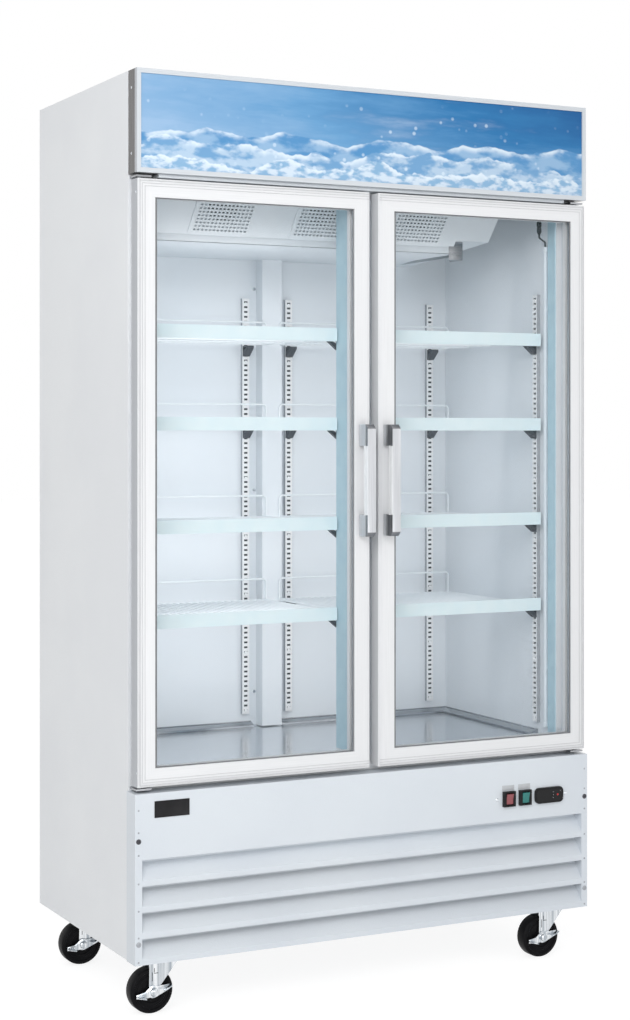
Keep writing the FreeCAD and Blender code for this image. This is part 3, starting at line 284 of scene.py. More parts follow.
SIDE_WHITE = powder_coat("side_powder_coat", (0.775, 0.795, 0.815), (0.745, 0.765, 0.79))
BASE_WHITE = powder_coat("base_powder_coat", (0.665, 0.71, 0.755), (0.635, 0.68, 0.73))
LINER_WHITE = powder_coat(
    "liner_coat", (0.785, 0.825, 0.865), (0.76, 0.805, 0.85), SMOOTH_PEEL, gloss=0.6, gloss_rough=0.07,
)
COVER_WHITE = powder_coat("cover_coat", (0.78, 0.82, 0.86), (0.75, 0.80, 0.84), SMOOTH_PEEL)
STAINLESS = rolled_metal("floor_stainless", (0.72, 0.74, 0.77), (0.62, 0.65, 0.69), "x", rough=0.15)
EDGE_GREY = (0.42, 0.44, 0.47)
DOOR_ALUMINIUM = framed_alloy(
    "door_aluminium", (0.755, 0.765, 0.78), (0.72, 0.73, 0.745), EDGE_GREY, "right_door_frame",
)
HEADER_ALUMINIUM = framed_alloy(
    "header_aluminium", (0.6, 0.635, 0.67), (0.56, 0.595, 0.63), EDGE_GREY, "header_frame",
)
# Darker than the door alloy: painted shade for the fine lines of the frame profile.
RIB_PAINTED_SHADE = rolled_metal("frame_rib", (0.6, 0.605, 0.62), (0.54, 0.545, 0.56), "z", 0.3, 0.35)
SATIN_SILVER = rolled_metal("handle_silver", (0.62, 0.635, 0.66), (0.54, 0.555, 0.58), "z", 0.6, 0.34)
HEADER_STEEL = rolled_metal("header_steel", (0.165, 0.16, 0.16), (0.11, 0.108, 0.108), "z", 1.0, 0.24)
# Near-white finish: painted reflection on the grip's back and inner sides.
GRIP_PAINTED_REFLECTION = rolled_metal("grip_painted_reflection", (0.93, 0.935, 0.945), (0.87, 0.875, 0.885), "z", 0.1, 0.28)
# Dark finish: painted shade on the handle's end faces, seams and the right-hand hollow.
HANDLE_PAINTED_SHADE = rolled_metal("handle_painted_shade", (0.31, 0.315, 0.33), (0.22, 0.225, 0.24), "z", 1.0, 0.3)
STANDARD_ZINC = rolled_metal("standard_zinc", (0.93, 0.935, 0.945), (0.86, 0.87, 0.885), "z", 0.15, 0.36)
SLOT_SHADOW = moulded("slot_shadow", (0.05, 0.052, 0.056), (0.07, 0.072, 0.078), 0.6, shine=0.2)
# A little greyer than the cover: painted shade for what shows through the grille holes.
GRILLE_SHADE_GREY = powder_coat("grille_backing_painted_shade", (0.7, 0.74, 0.78), (0.66, 0.7, 0.74), SMOOTH_PEEL)
FLOOR_TRIM = rolled_metal("floor_trim", (0.5, 0.515, 0.54), (0.34, 0.35, 0.37), "x", 1.0, 0.14)
HINGE_ZINC = rolled_metal("hinge_zinc", (0.42, 0.43, 0.45), (0.3, 0.31, 0.33), "x", 1.0, 0.28)
BEAD_RUBBER = moulded("bead_rubber", (0.16, 0.165, 0.175), (0.2, 0.205, 0.215), 0.5)
GALVANISED = spangled_zinc("galvanised_sheet", (0.62, 0.64, 0.66), (0.47, 0.49, 0.51))
# Zinc plating whose coarse bands of light and dark are painted reflections.
ZINC_WITH_PAINTED_REFLECTIONS = rolled_metal(
    "zinc_painted_reflections", (0.88, 0.9, 0.92), (0.36, 0.4, 0.44), "z", 1.0, 0.2, 0.02 * MM, 8 * MM,
)
TRIM_CYAN = moulded("jamb_trim_plastic", (0.43, 0.61, 0.7), (0.48, 0.66, 0.74), 0.3)
RAIL_CYAN = moulded("rail_plastic", (0.77, 0.91, 0.955), (0.81, 0.935, 0.97), 0.28)
GASKET_GREY = moulded("gasket_rubber", (0.62, 0.68, 0.74), (0.56, 0.62, 0.68), 0.55)
WIRE_COAT = moulded("wire_coat", (0.85, 0.89, 0.92), (0.8, 0.85, 0.88), 0.3)
CLIP_GREY = moulded("clip_plastic", (0.05, 0.05, 0.06), (0.07, 0.07, 0.082), 0.4, shine=0.3)
PLUG_GREY = moulded("plug_plastic", (0.42, 0.44, 0.47), (0.36, 0.38, 0.41), 0.4)
SPACER_GREY = rolled_metal("spacer_alloy", (0.5, 0.53, 0.56), (0.42, 0.45, 0.48), "z", 1.0, 0.35)
FAN_GREY = moulded("fan_plastic", (0.05, 0.055, 0.06), (0.075, 0.08, 0.085), 0.4)
CONTROL_BLACK = moulded("control_plastic", (0.008, 0.008, 0.009), (0.013, 0.013, 0.015), 0.3, shine=0.2)
RED_LENS = moulded("red_lens", (0.28, 0.075, 0.085), (0.22, 0.05, 0.06), 0.2)
GREEN_LENS = moulded("green_lens", (0.02, 0.2, 0.18), (0.015, 0.15, 0.14), 0.2)
WHEEL_RUBBER = moulded("wheel_rubber", (0.004, 0.004, 0.005), (0.008, 0.008, 0.009), 0.34, shine=0.07)
COMPRESSOR_BLACK = moulded("compressor_enamel", (0.018, 0.018, 0.02), (0.028, 0.028, 0.03), 0.25, 3 * MM)
WINDOW_GLOSS = moulded("window_gloss", (0.004, 0.004, 0.005), (0.007, 0.007, 0.009), 0.1, shine=0.3)
LED_RED = moulded("indicator_red", (0.6, 0.03, 0.03), (0.5, 0.02, 0.02), 0.2)
LED_PALE = moulded("indicator_pale", (0.6, 0.62, 0.64), (0.5, 0.52, 0.54), 0.3)
PLATE_GREY = moulded("plate_grey", (0.52, 0.54, 0.56), (0.46, 0.48, 0.5), 0.4)
FOAM_CREAM = moulded("foam", (0.7, 0.62, 0.4), (0.6, 0.52, 0.32), 0.8, 4 * MM)
COIL_FINS = rolled_metal("coil_fins", (0.6, 0.62, 0.64), (0.48, 0.5, 0.52), "z", 1.0, 0.32)
PANE = clear_pane()
LAMP = lamp_glow()
PRINT = header_print()

# Finishes of the CAD nodes

HANDS = ("left", "right")
FANS = (1, 2, 3)
DOOR_FINISHES = {"frame": DOOR_ALUMINIUM, "glass": PANE, "spacer": SPACER_GREY, "gasket": GASKET_GREY}
NODE_FINISHES = [
    (SIDE_WHITE, ["left_side_panel", "right_side_panel", "top_panel", "face_frame"]),
    (LINER_WHITE, ["liner_walls", "centre_mullion"]), (FOAM_CREAM, ["foam_insulation"]),
    (GALVANISED, ["rear_panel", "base_deck", "condenser_shroud"]), (STAINLESS, ["floor_pan"]),
    (TRIM_CYAN, ["jamb_trims"]), (RAIL_CYAN, ["price_rails"]), (HINGE_ZINC, ["hinge_brackets"]),
    (HEADER_STEEL, ["header_housing"]), (HEADER_ALUMINIUM, ["header_frame"]), (PRINT, ["header_panel"]),
    (COIL_FINS, ["evaporator_coil", "condenser_coil"]), (COMPRESSOR_BLACK, ["fan_motors", "compressor"]),
    (FAN_GREY, ["condenser_fan", *(f"evaporator_fan_{number}" for number in FANS)]),
    (BASE_WHITE, ["louvre_panel"]), (CONTROL_BLACK, ["switch_housings", "controller"]),
    (RED_LENS, ["power_rocker"]), (GREEN_LENS, ["light_rocker"]), (ZINC_WITH_PAINTED_REFLECTIONS, ["caster_plates"]),
]
for part, finish in DOOR_FINISHES.items():
    NODE_FINISHES.append((finish, [f"{hand}_door_{part}" for hand in HANDS]))

for finish, names in NODE_FINISHES:
    for name in names:
        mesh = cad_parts[name].data
        mesh.materials.clear()
        mesh.materials.append(finish)


# Shape helpers: each returns a bmesh in the frame's metres

UPRIGHT = Matrix.Rotation(math.radians(90), 4, "X")
SIDEWAYS = Matrix(((0, 0, 1, 0), (1, 0, 0, 0), (0, 1, 0, 0), (0, 0, 0, 1)))
BEND_STEPS = 4
CREASE = math.radians(35)
FRONT = (0, -1, 0)
MERGE_REACH = 0.001 * MM


def shift(x, y, z):
    return Matrix.Translation((x, y, z))


def moved(shape, matrix):
    bmesh.ops.transform(shape, matrix=matrix, verts=shape.verts)
    return shape


def facing(direction, place=(0, 0, 0)):
    """Carries a shape modelled along +Z to a place and a direction."""
    turn = Vector(direction).to_track_quat("Z", "Y").to_matrix().to_4x4()
    return Matrix.Translation(place) @ turn


def joined(shapes):
    whole = bmesh.new()
    for shape in shapes:
        part = meshed("part", shape, [])
        whole.from_mesh(part)
        bpy.data.meshes.remove(part)
    return whole


def eased(shape, geometry, radius, segments=2, affect="EDGES"):
    """Rounds edges over, or the corners of a flat shape."""
    bmesh.ops.bevel(
        shape, geom=geometry, offset=radius, offset_type="OFFSET", segments=segments,
        profile=0.5, affect=affect, material=-1,
    )
    return shape


def edges_along(shape, axis, length):
    """Edges that run further than a length along one axis."""
    return [edge for edge in shape.edges if abs((edge.verts[0].co - edge.verts[1].co)[axis]) > length]


def block(low, high, edge=0.0):
    """Box between two corners, its edges rounded."""
    shape = bmesh.new()
    bmesh.ops.create_cube(shape, size=1)
    low, high = Vector(low), Vector(high)
    moved(shape, Matrix.Translation((low + high) / 2) @ Matrix.Diagonal((*(high - low), 1)))
    return eased(shape, shape.edges[:], edge) if edge else shape


def raised(shape, depth):
    """Gives a flat shape its thickness along Z."""
    made = bmesh.ops.extrude_face_region(shape, geom=shape.faces[:])["geom"]
    top = [item for item in made if isinstance(item, bmesh.types.BMVert)]
    bmesh.ops.translate(shape, vec=(0, 0, depth), verts=top)
    bmesh.ops.recalc_face_normals(shape, faces=shape.faces)
    return shape


def prism(outline, depth, edge=0.0):
    """Outline in X and Y, extruded along Z, its edges rounded."""
    shape = bmesh.new()
    shape.faces.new([shape.verts.new((x, y, 0)) for x, y in outline])
    raised(shape, depth)
    return eased(shape, shape.edges[:], edge) if edge else shape


def drilled(outline, holes, depth):
    """Flat sheet in X and Y with holes through it, its thickness along Z."""
    shape = bmesh.new()
    for loop in (outline, *holes):
        corners = [shape.verts.new((x, y, 0)) for x, y in loop]
        for first, second in zip(corners, corners[1:] + corners[:1]):
            shape.edges.new((first, second))
    bmesh.ops.triangle_fill(shape, edges=shape.edges[:], use_beauty=True, normal=(0, 0, 1))
    return raised(shape, depth)


def arc(centre, radius, start, end, steps):
    """Points on an arc, its angles in degrees."""
    turns = [math.radians(start + (end - start) * step / steps) for step in range(steps + 1)]
    x, y = centre
    return [(x + radius * math.cos(turn), y + radius * math.sin(turn)) for turn in turns]


def circle(centre, radius, steps):
    return arc(centre, radius, 0, 360, steps)[:-1]


def rectangle(low, high):
    return [(low[0], low[1]), (high[0], low[1]), (high[0], high[1]), (low[0], high[1])]


def turned(profile, steps):
    """Turned about Z from (radius, height) corners in millimetres."""
    shape = bmesh.new()
    corners = [shape.verts.new((radius * MM, 0, height * MM)) for radius, height in profile]
    edges = [shape.edges.new(pair) for pair in zip(corners, corners[1:])]
    bmesh.ops.spin(
        shape, geom=corners + edges, cent=(0, 0, 0), axis=(0, 0, 1),
        angle=math.tau, steps=steps, use_merge=True,
    )
    bmesh.ops.remove_doubles(shape, verts=shape.verts, dist=MERGE_REACH)
    bmesh.ops.recalc_face_normals(shape, faces=shape.faces)
    return shape


def bent_wire(points, radius, bend=0.0, sides=8):
    """Round wire along straight runs, each corner bent to one radius."""
    points = [Vector(point) for point in points]
    heading = (points[1] - points[0]).normalized()
    here = points[0]
    shape = bmesh.new()
    bmesh.ops.create_circle(shape, radius=radius, segments=sides, matrix=facing(heading, here))
    ring = shape.edges[:]
    for corner, after in zip(points[1:], points[2:] + [None]):
        ahead = (after - corner).normalized() if after else heading
        turn = heading.angle(ahead)
        trim = bend * math.tan(turn / 2)
        made = bmesh.ops.extrude_edge_only(shape, edges=ring)["geom"]
        ring = [item for item in made if isinstance(item, bmesh.types.BMEdge) and item.is_boundary]
        end = [item for item in made if isinstance(item, bmesh.types.BMVert)]
        stop = corner - heading * trim
        bmesh.ops.translate(shape, vec=stop - here, verts=end)
        if after:
            axis = heading.cross(ahead).normalized()
            centre = stop + axis.cross(heading) * bend
            made = bmesh.ops.spin(
                shape, geom=ring, cent=centre, axis=axis, angle=turn, steps=BEND_STEPS,
                use_duplicate=False,
            )["geom_last"]
            ring = [item for item in made if isinstance(item, bmesh.types.BMEdge)]
            here = corner + ahead * trim
            heading = ahead
    bmesh.ops.holes_fill(shape, edges=[edge for edge in shape.edges if edge.is_boundary])
    bmesh.ops.recalc_face_normals(shape, faces=shape.faces)
    return shape


def painted(shape, index):
    """Gives every face of a shape one of its piece's finishes."""
    for face in shape.faces:
        face.material_index = index
    return shape


def screw_head(radius, rise):
    """Pan head with a sunk drive, its face towards +Z, sized in millimetres."""
    sunk = rise * 0.4
    profile = [
        (0, sunk), (radius * 0.36, sunk), (radius * 0.42, rise), (radius * 0.72, rise * 0.92),
        (radius, rise * 0.4), (radius, 0), (0, 0),
    ]
    return turned(profile, 12)


def placed(name, data):
    """Puts a mesh, lamp or camera in the scene."""
    made = bpy.data.objects.new(name, data)
    bpy.context.scene.collection.objects.link(made)
    return made


def meshed(name, shape, finishes):
    """Makes a shape into a mesh with its finishes."""
    mesh = bpy.data.meshes.new(name)
    shape.to_mesh(mesh)
    shape.free()
    for finish in finishes:
        mesh.materials.append(finish)
    return mesh


def piece(name, shapes, finishes, body="cabinet", stands_for=()):
    """Joins shapes into an object that rides on a body."""
    mesh = meshed(name, joined(shapes), finishes)
    mesh.shade_smooth()
    mesh.set_sharp_from_angle(angle=CREASE)
    made = placed(name, mesh)
    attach(made, body)
    if stands_for:
        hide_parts(*stands_for)


# Evaporator cover: a sloped sheet over the fans, its drip lip, and three perforated grilles

FOLD_EASE = 0.6 * MM
COVER_SHEET = 2 * MM
COVER_RUN = 97.3 * MM
COVER_FLANGE = 3 * MM
LIP_HEIGHT = 18 * MM
LIP_END = 335 * MM
TAIL_LIFT = 33 * MM
FAN_MOUTH = 41 * MM
MOUTH_DEPTH = 4 * MM
MOUTH_SHIFT = (-4 * MM, -14 * MM)
GRILLE_SIZE = (160 * MM, 131 * MM)
GRILLE_HOLES = (14, 11)
GRILLE_RISE = 2.5 * MM
GRILLE_CORNER = 12 * MM
GRILLE_LAP = 5 * MM
HOLE_RIM = 1.8 * MM
HOLE_FLATTEN = 0.75
SHADED_BACKING, PAINTED_MOUTH_SHADE = 1, 2

cover_low, cover_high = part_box("evaporator_cover")
cover_drop = cover_high.z - cover_low.z - LIP_HEIGHT - COVER_FLANGE
cover_slope = math.hypot(COVER_RUN, cover_drop)
fan_middles = [sum(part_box(f"evaporator_fan_{number}"), Vector()).x / 2 for number in FANS]


def on_slope(x, down=0.0):
    """Places a flat shape on the sloped sheet: +Y runs down the slope and +Z points inside."""
    tip = Matrix.Rotation(-math.atan2(cover_drop, COVER_RUN), 4, "X")
    top = Vector((x, cover_low.y, cover_low.z + LIP_HEIGHT + cover_drop))
    return Matrix.Translation(top) @ tip @ shift(0, down, 0)


def perforated_grille():
    """Rounded plate with a field of oblong holes."""
    columns, rows = GRILLE_HOLES
    shape = bmesh.new()
    bmesh.ops.create_grid(shape, x_segments=columns + 2, y_segments=rows + 2, size=0.5)
    bmesh.ops.scale(shape, vec=(*GRILLE_SIZE, 1), verts=shape.verts)
    field = [face for face in shape.faces if not any(edge.is_boundary for edge in face.edges)]
    corners = [vert for vert in shape.verts if len(vert.link_edges) == 2]
    bmesh.ops.inset_individual(shape, faces=field, thickness=HOLE_RIM, use_even_offset=True)
    for face in field:
        centre = Matrix.Translation(-face.calc_center_median())
        bmesh.ops.scale(shape, vec=(1, HOLE_FLATTEN, 1), verts=face.verts[:], space=centre)
    bmesh.ops.delete(shape, geom=field, context="FACES")
    return raised(eased(shape, corners, GRILLE_CORNER, 4, "VERTICES"), -GRILLE_RISE)


def evaporator_cover():
    """Sloped sheet, drip lip, raised tail, end plates, and behind each grille a box painted a little
    greyer than the cover as shade, with a dark disc of painted shade in its mouth.
    """
    back, bottom = cover_high.y, cover_low.z
    lip_front = cover_low.y + COVER_RUN
    tail_share = (TAIL_LIFT - LIP_HEIGHT) / cover_drop
    tail_front = lip_front - COVER_RUN * tail_share
    tail_slope = cover_slope * (1 - tail_share)
    outline = [
        (cover_low.x, 0), (cover_high.x, 0), (cover_high.x, tail_slope), (LIP_END, tail_slope),
        (LIP_END, cover_slope), (cover_low.x, cover_slope),
    ]
    half = [size / 2 - GRILLE_LAP for size in GRILLE_SIZE]
    field = rectangle([-side for side in half], half)
    wall = rectangle([-side - COVER_SHEET for side in half], [side + COVER_SHEET for side in half])
    grille_middle = cover_slope - GRILLE_SIZE[1] / 2 - MM
    openings = [[(x + across, grille_middle + down) for across, down in field] for x in fan_middles]
    shapes = [moved(drilled(outline, openings, COVER_SHEET), on_slope(0))]
    for corner in (
        (LIP_END, lip_front + COVER_SHEET, bottom + LIP_HEIGHT), (LIP_END, back, bottom + COVER_SHEET),
    ):
        shapes.append(block((cover_low.x, lip_front, bottom), corner, FOLD_EASE))
    tail = [(tail_front, bottom + TAIL_LIFT), (back, bottom)]
    tail += [(y, z + COVER_SHEET) for y, z in reversed(tail)]
    tail_width = cover_high.x - LIP_END
    shapes.append(moved(prism(tail, tail_width), shift(LIP_END, 0, 0) @ SIDEWAYS))
    plate_top = cover_high.z - COVER_SHEET
    plate = [(cover_low.y, plate_top), *tail[:2], (back, plate_top)]
    for x in (cover_low.x, cover_high.x - COVER_SHEET):
        shapes.append(moved(prism(plate, COVER_SHEET), shift(x, 0, 0) @ SIDEWAYS))
    mouth = circle(MOUTH_SHIFT, FAN_MOUTH, 32)
    for x in fan_middles:
        place = on_slope(x, grille_middle)
        behind = place @ shift(0, 0, MOUTH_DEPTH)
        shapes.append(moved(perforated_grille(), place))
        # Box and plate behind each grille are a little greyer as painted shade; the dark disc in the fan
        # mouth is painted shade.
        shapes.append(painted(moved(drilled(wall, [field], MOUTH_DEPTH), place), SHADED_BACKING))
        shapes.append(painted(moved(drilled(wall, [mouth], COVER_SHEET), behind), SHADED_BACKING))
        shapes.append(painted(moved(prism(mouth, COVER_SHEET / 2), behind), PAINTED_MOUTH_SHADE))
    piece(
        "evaporator_cover_sheet", shapes, [COVER_WHITE, GRILLE_SHADE_GREY, SLOT_SHADOW],
        stands_for=["evaporator_cover"],
    )


evaporator_cover()

# Shelves: round wire decks, each with a hoop at the back

SHELF_LEVELS = (880 * MM, 1095 * MM, 1331 * MM, 1543 * MM)
EDGE_WIRE = 3 * MM
EDGE_BEND = 12 * MM
ROD = 1.8 * MM
ROD_COUNT = 26
CROSS_RODS = (0.25, 0.5, 0.75)
HOOP_WIRE = 2.4 * MM
HOOP_BEND = 10 * MM
HOOP_HEIGHT = 39 * MM
DECK_DROP = 19 * MM
REAR_GAP = 25 * MM
INNER_REACH = 30 * MM
MULLION_NOTCH = 30 * MM


def wire_shelf(low, high, level):
    """Edge wire, rods from front to back, cross rods below and the raised hoop."""
    x0, x1 = low.x + EDGE_WIRE, high.x - EDGE_WIRE
    front, back = low.y + EDGE_WIRE, high.y - EDGE_WIRE - REAR_GAP
    notch = front + MULLION_NOTCH
    outer, inner = (x0, x1) if abs(x0) > abs(x1) else (x1, x0)
    reach = inner - math.copysign(INNER_REACH, inner)
    deck = level - DECK_DROP
    middle = (x0 + x1) / 2
    edge = [
        (middle, front), (inner, front), (inner, notch), (reach, notch), (reach, back),
        (outer, back), (outer, front), (middle, front),
    ]
    shapes = [bent_wire([(x, y, deck) for x, y in edge], EDGE_WIRE, EDGE_BEND)]
    rods = [(x0 + (x1 - x0) * (number + 1) / (ROD_COUNT + 1), front) for number in range(ROD_COUNT)]
    rods += [(inner, notch), ((inner + reach) / 2, notch)]
    for x, start in rods:
        shapes.append(bent_wire([(x, start, deck + ROD), (x, back, deck + ROD)], ROD, sides=6))
    for share in CROSS_RODS:
        y = front + (back - front) * share
        shapes.append(bent_wire([(outer, y, deck - ROD), (reach, y, deck - ROD)], HOOP_WIRE, sides=6))
    top = level + HOOP_HEIGHT - HOOP_WIRE
    arch = [(outer, deck), (outer, top), (reach, top), (reach, deck)]
    shapes.append(bent_wire([(x, back, z) for x, z in arch], HOOP_WIRE, HOOP_BEND))
    return joined(shapes)


for hand in HANDS:
    node = f"{hand}_shelves"
    decks = [wire_shelf(*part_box(node), level) for level in SHELF_LEVELS]
    piece(f"{hand}_wire_shelves", decks, [WIRE_COAT], stands_for=[node])

# Shelf standards: folded channels with a close row of slots

SLOT_PITCH = 12.7 * MM
SLOT_HEIGHT = 5 * MM
STANDARD_WIDTH = 20 * MM
STANDARD_DEPTH = 10 * MM
STANDARD_SHEET = 1.2 * MM
SCREW_PITCH = 150.7 * MM
SCREW_START = 8 * MM
SCREW_COUNT = 8
REAR_NEAR = 62 * MM
REAR_INSET = 55 * MM
MULLION_STANDARD = 20 * MM
SIDE_STANDARD = -166 * MM
PAINTED_SLOT_SHADE, SHADED_FOLD = 1, 2
standard_low, standard_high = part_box("shelf_standards")
standard_height = standard_high.z - standard_low.z
mullion_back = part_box("centre_mullion")[1].y


def slotted_standard():
    """Channel that stands along +Y, its slotted web towards +Z and its back at z = 0."""
    rows = 2 * round(standard_height / SLOT_PITCH) + 1
    step = standard_height / rows
    shape = bmesh.new()
    bmesh.ops.create_grid(shape, x_segments=4, y_segments=rows, size=0.5)
    moved(shape, Matrix.Diagonal((STANDARD_WIDTH, standard_height, 1, 1)))
    shrink = (step - SLOT_HEIGHT) / 2
    for vert in shape.verts:
        line = round((vert.co.y + standard_height / 2) / step)
        if 0 < line < rows:
            vert.co.y += shrink if line % 2 else -shrink
    slots = []
    for face in shape.faces:
        place = face.calc_center_median()
        row = int((place.y / standard_height + 0.5) * rows)
        if row % 2 and abs(place.x) < STANDARD_WIDTH / 4:
            slots.append(face)
    bmesh.ops.delete(shape, geom=slots, context="FACES")
    side = STANDARD_WIDTH * 0.49
    sides = [edge for edge in shape.edges if all(abs(vert.co.x) > side for vert in edge.verts)]
    made = bmesh.ops.extrude_edge_only(shape, edges=sides)["geom"]
    folded = [item for item in made if isinstance(item, bmesh.types.BMVert)]
    bmesh.ops.translate(shape, vec=(0, 0, -STANDARD_DEPTH), verts=folded)
    bmesh.ops.recalc_face_normals(shape, faces=shape.faces)
    bmesh.ops.solidify(shape, geom=shape.faces[:], thickness=STANDARD_SHEET)
    shape.normal_update()
    # Sideways folds get a mid-grey finish: painted shade on the faces turned away from the light.
    for face in shape.faces:
        if abs(face.normal.x) > 0.5 and abs(face.calc_center_median().x) > side:
            face.material_index = SHADED_FOLD
    moved(shape, shift(0, standard_height / 2, STANDARD_DEPTH))
    reach = STANDARD_WIDTH / 2 - 2 * STANDARD_SHEET
    # Dark strip of painted shade behind the slots, where the channel's hollow is in shadow.
    slot_shade_strip = block((-reach, 0, MM), (reach, standard_height, STANDARD_DEPTH / 2))
    shapes = [shape, painted(slot_shade_strip, PAINTED_SLOT_SHADE)]
    for number in range(SCREW_COUNT):
        place = shift(0, SCREW_START + number * SCREW_PITCH, STANDARD_DEPTH)
        shapes.append(moved(screw_head(4.4, 1.6), place))
    return joined(shapes)


def standard_spots():
    """Foot of each standard, which way its web faces and which side of the middle it is on."""
    wall = standard_high.x
    for side in (-1, 1):
        yield (REAR_NEAR * side, standard_high.y), (0, -1), side
        yield ((wall - REAR_INSET) * side, standard_high.y), (0, -1), side
        yield (MULLION_STANDARD * side, mullion_back), (0, 1), side
        yield (wall * side, SIDE_STANDARD), (-side, 0), side


def shelf_standards():
    shapes = []
    for (x, y), (face_x, face_y), _ in standard_spots():
        turn = Matrix.Rotation(math.atan2(face_x, -face_y), 4, "Z")
        shapes.append(moved(slotted_standard(), shift(x, y, standard_low.z) @ turn @ UPRIGHT))
    piece(
        "slotted_standards", shapes, [STANDARD_ZINC, SLOT_SHADOW, PLUG_GREY],
        stands_for=["shelf_standards"],
    )


# Shelf clips: wedges with a light strut, hooked on the standards

CLIP_HEIGHT = 27 * MM
CLIP_REACH = 30 * MM
CLIP_WIDTH = 18 * MM
CLIP_LIP = 6 * MM
CLIP_FOOT = 5 * MM
CLIP_STRUT = 4 * MM
CLIP_DROP = 24 * MM


def shelf_clip(root, out, width):
    """Wedge that reaches out from its root, deep at the standard and thin at the tip."""
    wedge = [
        (0, -CLIP_HEIGHT), (CLIP_FOOT, -CLIP_HEIGHT), (CLIP_REACH, -CLIP_LIP), (CLIP_REACH, 0), (0, 0),
    ]
    window = [
        (CLIP_STRUT, -CLIP_STRUT), (CLIP_REACH - 9 * MM, -CLIP_STRUT), (CLIP_STRUT, 13 * MM - CLIP_HEIGHT),
    ]
    out, up = Vector(out), Vector((0, 0, 1))
    aside = out.cross(up)
    turn = Matrix((out, up, aside)).transposed().to_4x4()
    place = Matrix.Translation(Vector(root) - aside * width / 2)
    return moved(drilled(wedge, [window], width), place @ turn)


def shelf_clips():
    """A clip on each standard at each level; those of the mullion reach out sideways."""
    shapes = []
    for level in SHELF_LEVELS:
        top = level - CLIP_DROP
        for (x, y), (face_x, face_y), side in standard_spots():
            root = (x + face_x * STANDARD_DEPTH, y + face_y * STANDARD_DEPTH, top)
            out, width = (face_x, face_y, 0), CLIP_WIDTH
            if face_y > 0:
                root = (x + side * STANDARD_WIDTH / 2, y + STANDARD_DEPTH / 2, top)
                out, width = (side, 0, 0), STANDARD_DEPTH
            shapes.append(shelf_clip(root, out, width))
    piece("strutted_clips", shapes, [CLIP_GREY], stands_for=["shelf_clips"])


shelf_standards()
shelf_clips()

# Bow handles: a flat grip whose back is painted near-white as a reflection, on two rounded legs whose ends
# are painted dark as shade

GRIP = 11 * MM
GRIP_BACK = 8 * MM
GRIP_CHAMFER = 10 * MM
LEG_HEIGHT = 50 * MM
LEG_ROUND = 8 * MM
INNER_FOOT = 15 * MM
SILVER, PAINTED_SHADE, PAINTED_REFLECTION = 0, 1, 2


def bow_handle(hand):
    low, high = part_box(f"{hand}_door_handle")
    back = low.y + GRIP
    outline = [
        (low.y, low.z + GRIP_CHAMFER), (low.y + GRIP_CHAMFER, low.z), (back, low.z),
        (back, high.z), (low.y + GRIP_CHAMFER, high.z), (low.y, high.z - GRIP_CHAMFER),
    ]
    place = shift(low.x, 0, 0) @ SIDEWAYS
    grip = moved(prism(outline, high.x - low.x, FOLD_EASE), place)
    legs = (low.z + LEG_HEIGHT, high.z - LEG_HEIGHT)
    for level in legs:
        whole = [*grip.verts, *grip.edges, *grip.faces]
        bmesh.ops.bisect_plane(grip, geom=whole, plane_co=(0, 0, level), plane_no=(0, 0, 1))
    grip.normal_update()
    # Side faces between the legs get the painted reflection; the other side faces and the ends get painted
    # shade.
    for face in grip.faces:
        if abs(face.normal.x) > 0.5:
            between = legs[0] < face.calc_center_median().z < legs[1]
            face.material_index = PAINTED_REFLECTION if between else PAINTED_SHADE
        elif abs(face.normal.z) > 0.5:
            face.material_index = PAINTED_SHADE
    spine_top = (high.x, back + GRIP_BACK, legs[1] + MM)
    spine = block((low.x, back - MM, legs[0] - MM), spine_top, FOLD_EASE)
    # The spine behind the grip is near-white as painted reflection.
    shapes = [grip, painted(spine, PAINTED_REFLECTION)]
    split, leg_round = (high.y - INNER_FOOT, LEG_ROUND / 2) if hand == "right" else (back, LEG_ROUND)
    for bottom in (low.z, legs[1]):
        top = bottom + LEG_HEIGHT
        foot = block((low.x, split - MM, bottom), (high.x, high.y, top))
        eased(foot, edges_along(foot, 2, LEG_HEIGHT / 2), leg_round, 5)
        foot.normal_update()
        # The legs' end faces get painted shade.
        for face in foot.faces:
            face.material_index = PAINTED_SHADE if abs(face.normal.z) > 0.5 else SILVER
        shapes.append(foot)
        # On the right-hand handle, a dark block of painted shade fills the hollow behind the grip.
        if split > back:
            shapes.append(painted(block((low.x, back - MM, bottom), (high.x, split, top), MM), PAINTED_SHADE))
    piece(
        f"{hand}_bow_handle", shapes, [SATIN_SILVER, HANDLE_PAINTED_SHADE, GRIP_PAINTED_REFLECTION],
        body=f"{hand}_door", stands_for=[f"{hand}_door_handle"],
    )


# Door frames: a dark rubber bead round each pane, wider on the left as a painted shadow line, and fine
# ribs along the frame in a darker alloy as painted shade

BEAD_WIDTH = 2.2 * MM
BEAD_LEFT_SHADOW = 6 * MM
BEAD_RISE = 1.6 * MM
DOOR_BORDER = 41 * MM
PANE_RECESS = 6 * MM
RIB_INSETS = (4 * MM, 10 * MM, 16 * MM)
RIB_WIDTH = 1.4 * MM
RIB_RISE = 0.8 * MM
RIB_STOP = 2 * MM


def glazing_bead(hand):
    low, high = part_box(f"{hand}_door_frame")
    left, bottom = low.x + DOOR_BORDER, low.z + DOOR_BORDER
    right, top = high.x - DOOR_BORDER, high.z - DOOR_BORDER
    # Wider on the left: there the bead paints the dark shadow line along the pane's left edge.
    hole = rectangle((left + BEAD_LEFT_SHADOW, bottom + BEAD_WIDTH), (right - BEAD_WIDTH, top - BEAD_WIDTH))
    bead = drilled(rectangle((left, bottom), (right, top)), [hole], BEAD_RISE)
    moved(bead, shift(0, low.y + PANE_RECESS, 0) @ UPRIGHT)
    piece(f"{hand}_glazing_bead", [bead], [BEAD_RUBBER], body=f"{hand}_door")


